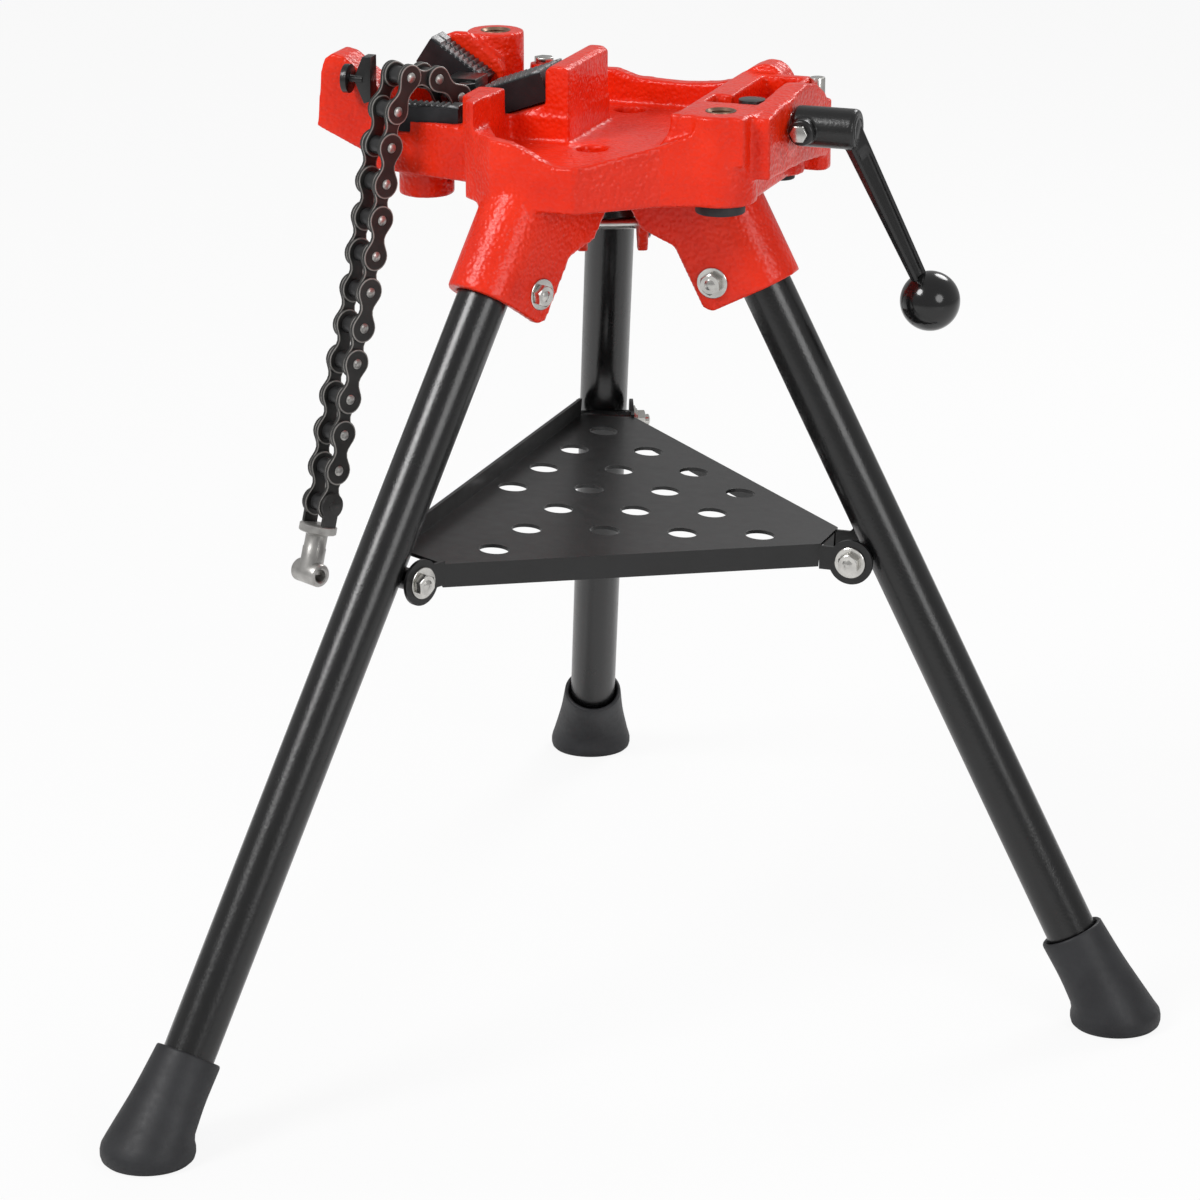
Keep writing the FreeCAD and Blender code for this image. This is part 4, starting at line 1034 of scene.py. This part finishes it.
def chain():
    """Outer links carry the pins and inner links the rollers; each link turns on its own body."""
    kinds = (link_shape(True), OUTER_OFFSET), (link_shape(False), INNER_OFFSET)
    joints = [Vector(JOINTS[node + "_bend"]["pos_m"]) for node in (*LINKS, "chain_end")]
    pin = Vector(JOINTS["chain_link_01_bend"]["axis"]).normalized()
    for index, (node, start, stop) in enumerate(zip(LINKS, joints, joints[1:])):
        run = stop - start
        way = run.normalized()
        shape, offset = kinds[index % 2]
        sizes = {"Half pitch": run.length / 2, "Plate offset": offset,
                 "Plate radius": NARROW_PLATE if index < NARROW_LINKS else WIDE_PLATE}
        piece = shape.grow(node.replace("chain_link", "chain_joint"), **sizes)
        turned = Matrix((way, pin.cross(way), pin)).transposed().to_4x4()
        piece.data.transform(Matrix.Translation((start + stop) / 2) @ turned)
        fit(piece, node, None, (node,), sharp=30)


chain()

COLLAR_AT, COLLAR_LONG, COLLAR_RADIUS = 18 * MM, 7 * MM, 15.8 * MM
ROD_RADIUS, NECK_RADIUS = 9.8 * MM, 9.2 * MM
HEAD_AT, HEAD_HALF, HEAD_BORE = 59 * MM, 15 * MM, 5.2 * MM
ROUND = 1.2 * MM


def center_of(node):
    """The centre of a CAD node's volume."""
    mesh = NODES[node].data
    mesh.calc_loop_triangles()
    total, moment = 0.0, Vector()
    for triangle in mesh.loop_triangles:
        a, b, c = (mesh.vertices[i].co for i in triangle.vertices)
        volume = a.dot(b.cross(c))
        total += volume
        moment += (a + b + c) * volume / 4
    return moment / total


def chain_end():
    """The turned end fitting: a collar, a necked rod and a bored cross head."""
    pin = Vector(JOINTS["chain_end_bend"]["axis"]).normalized()
    start = Vector(JOINTS["chain_end_bend"]["pos_m"])
    run = center_of("chain_end_fitting") - start
    way = (run - pin * run.dot(pin)).normalized()
    work = bmesh.new()
    top, low = COLLAR_AT, COLLAR_AT + COLLAR_LONG
    turn(work, start, way,
         [(top, COLLAR_RADIUS - 1 * MM), (top + 0.8 * MM, COLLAR_RADIUS),
          (low - 0.8 * MM, COLLAR_RADIUS), (low, COLLAR_RADIUS - 1 * MM),
          (low + 0.3 * MM, ROD_RADIUS + ROUND), (low + 2 * MM, NECK_RADIUS),
          (low + 12 * MM, NECK_RADIUS), (low + 13 * MM, ROD_RADIUS), (HEAD_AT, ROD_RADIUS)])
    half = [(HEAD_HALF - 2 * MM, ROD_RADIUS), (HEAD_HALF - 0.4 * MM, ROD_RADIUS - ROUND),
            (HEAD_HALF, HEAD_BORE + ROUND), (HEAD_HALF - 1 * MM, HEAD_BORE)]
    mirrored = [(-along, radius) for along, radius in reversed(half)]
    turn(work, start + way * HEAD_AT, pin, mirrored + half, looped=True)
    piece = from_bmesh("chain_end_turned", work)
    fit(piece, "chain_end", PIN, ("chain_end_fitting",), sharp=40)


chain_end()
bevelled("chain_end_shackle", 0.6 * MM, PLATE)

# ---- stage ------------------------------------------------------------------------------
CAMERA_AT = Vector((1.2099, -3.834, 1.607))
CAMERA_TURN = math.radians(19.3)
CAMERA_PITCH = math.radians(17.5)

camera = linked("camera", bpy.data.cameras.new("camera"))
camera.location = CAMERA_AT
camera.rotation_euler = (math.pi / 2 - CAMERA_PITCH, 0, CAMERA_TURN)
camera.data.lens = 150
camera.data.sensor_width = 36
camera.data.clip_end = 50
bpy.context.scene.camera = camera

# Where the lamps point.
LIT = Vector((0, 0, 0.55))


def lamp(name, place, width, power):
    """A round soft lamp that faces the stand's middle."""
    light = linked(name, bpy.data.lights.new(name, "AREA"))
    light.data.shape = "DISK"
    light.data.size = width
    light.data.energy = power
    light.location = place
    light.rotation_euler = (LIT - Vector(place)).to_track_quat("-Z", "Y").to_euler()


lamp("key", (-1.6, -2.2, 2.9), width=1.3, power=62)
lamp("fill", (2.6, -1.8, 1.7), width=1.6, power=26)
lamp("back", (0.6, 2.6, 2.6), width=1.4, power=40)


def camera_rays(graph):
    """1 for the rays that the camera sends out itself, 0 for the others."""
    return graph.node("ShaderNodeLightPath", {}, {}, "Is Camera Ray")


def shared(graph, share, first, second, output):
    """End a node tree with two shaders mixed by a share."""
    mix = graph.node("ShaderNodeMixShader", {}, {0: share, 1: first, 2: second})
    graph.tree.links.new(mix.out, graph.tree.nodes[output].inputs["Surface"])


world = bpy.data.worlds.new("studio")
world.use_nodes = True
sky = Graph(world.node_tree)
light = sky.tree.nodes["Background"]
light.inputs["Color"].default_value = (1, 1, 1, 1)
light.inputs["Strength"].default_value = 0.42
bright = sky.node("ShaderNodeBackground", {}, {"Strength": 1.0})
shared(sky, camera_rays(sky), Sock(sky.tree, light.outputs[0]), bright, "World Output")
bpy.context.scene.world = world
bpy.context.scene.view_settings.view_transform = "Standard"

# Half the floor's side, in metres.
FLOOR_REACH = 12
FLOOR_CORNERS = [(-1, -1), (1, -1), (1, 1), (-1, 1)]
floor_mesh = bpy.data.meshes.new("floor")
floor_mesh.from_pydata([(x * FLOOR_REACH, y * FLOOR_REACH, 0) for x, y in FLOOR_CORNERS], [],
                       [(0, 1, 2, 3)])
floor = linked("floor", floor_mesh)
floor_look = Finish("floor_white", (0.86, 0.86, 0.86), 0.8)
paint = Sock(floor_look.tree, floor_look.shader.outputs[0])
glow = floor_look.node("ShaderNodeEmission", {}, {"Strength": 1.0})
shared(floor_look, camera_rays(floor_look) * 0.9, paint, glow, "Material Output")
floor_mesh.materials.append(floor_look.material)
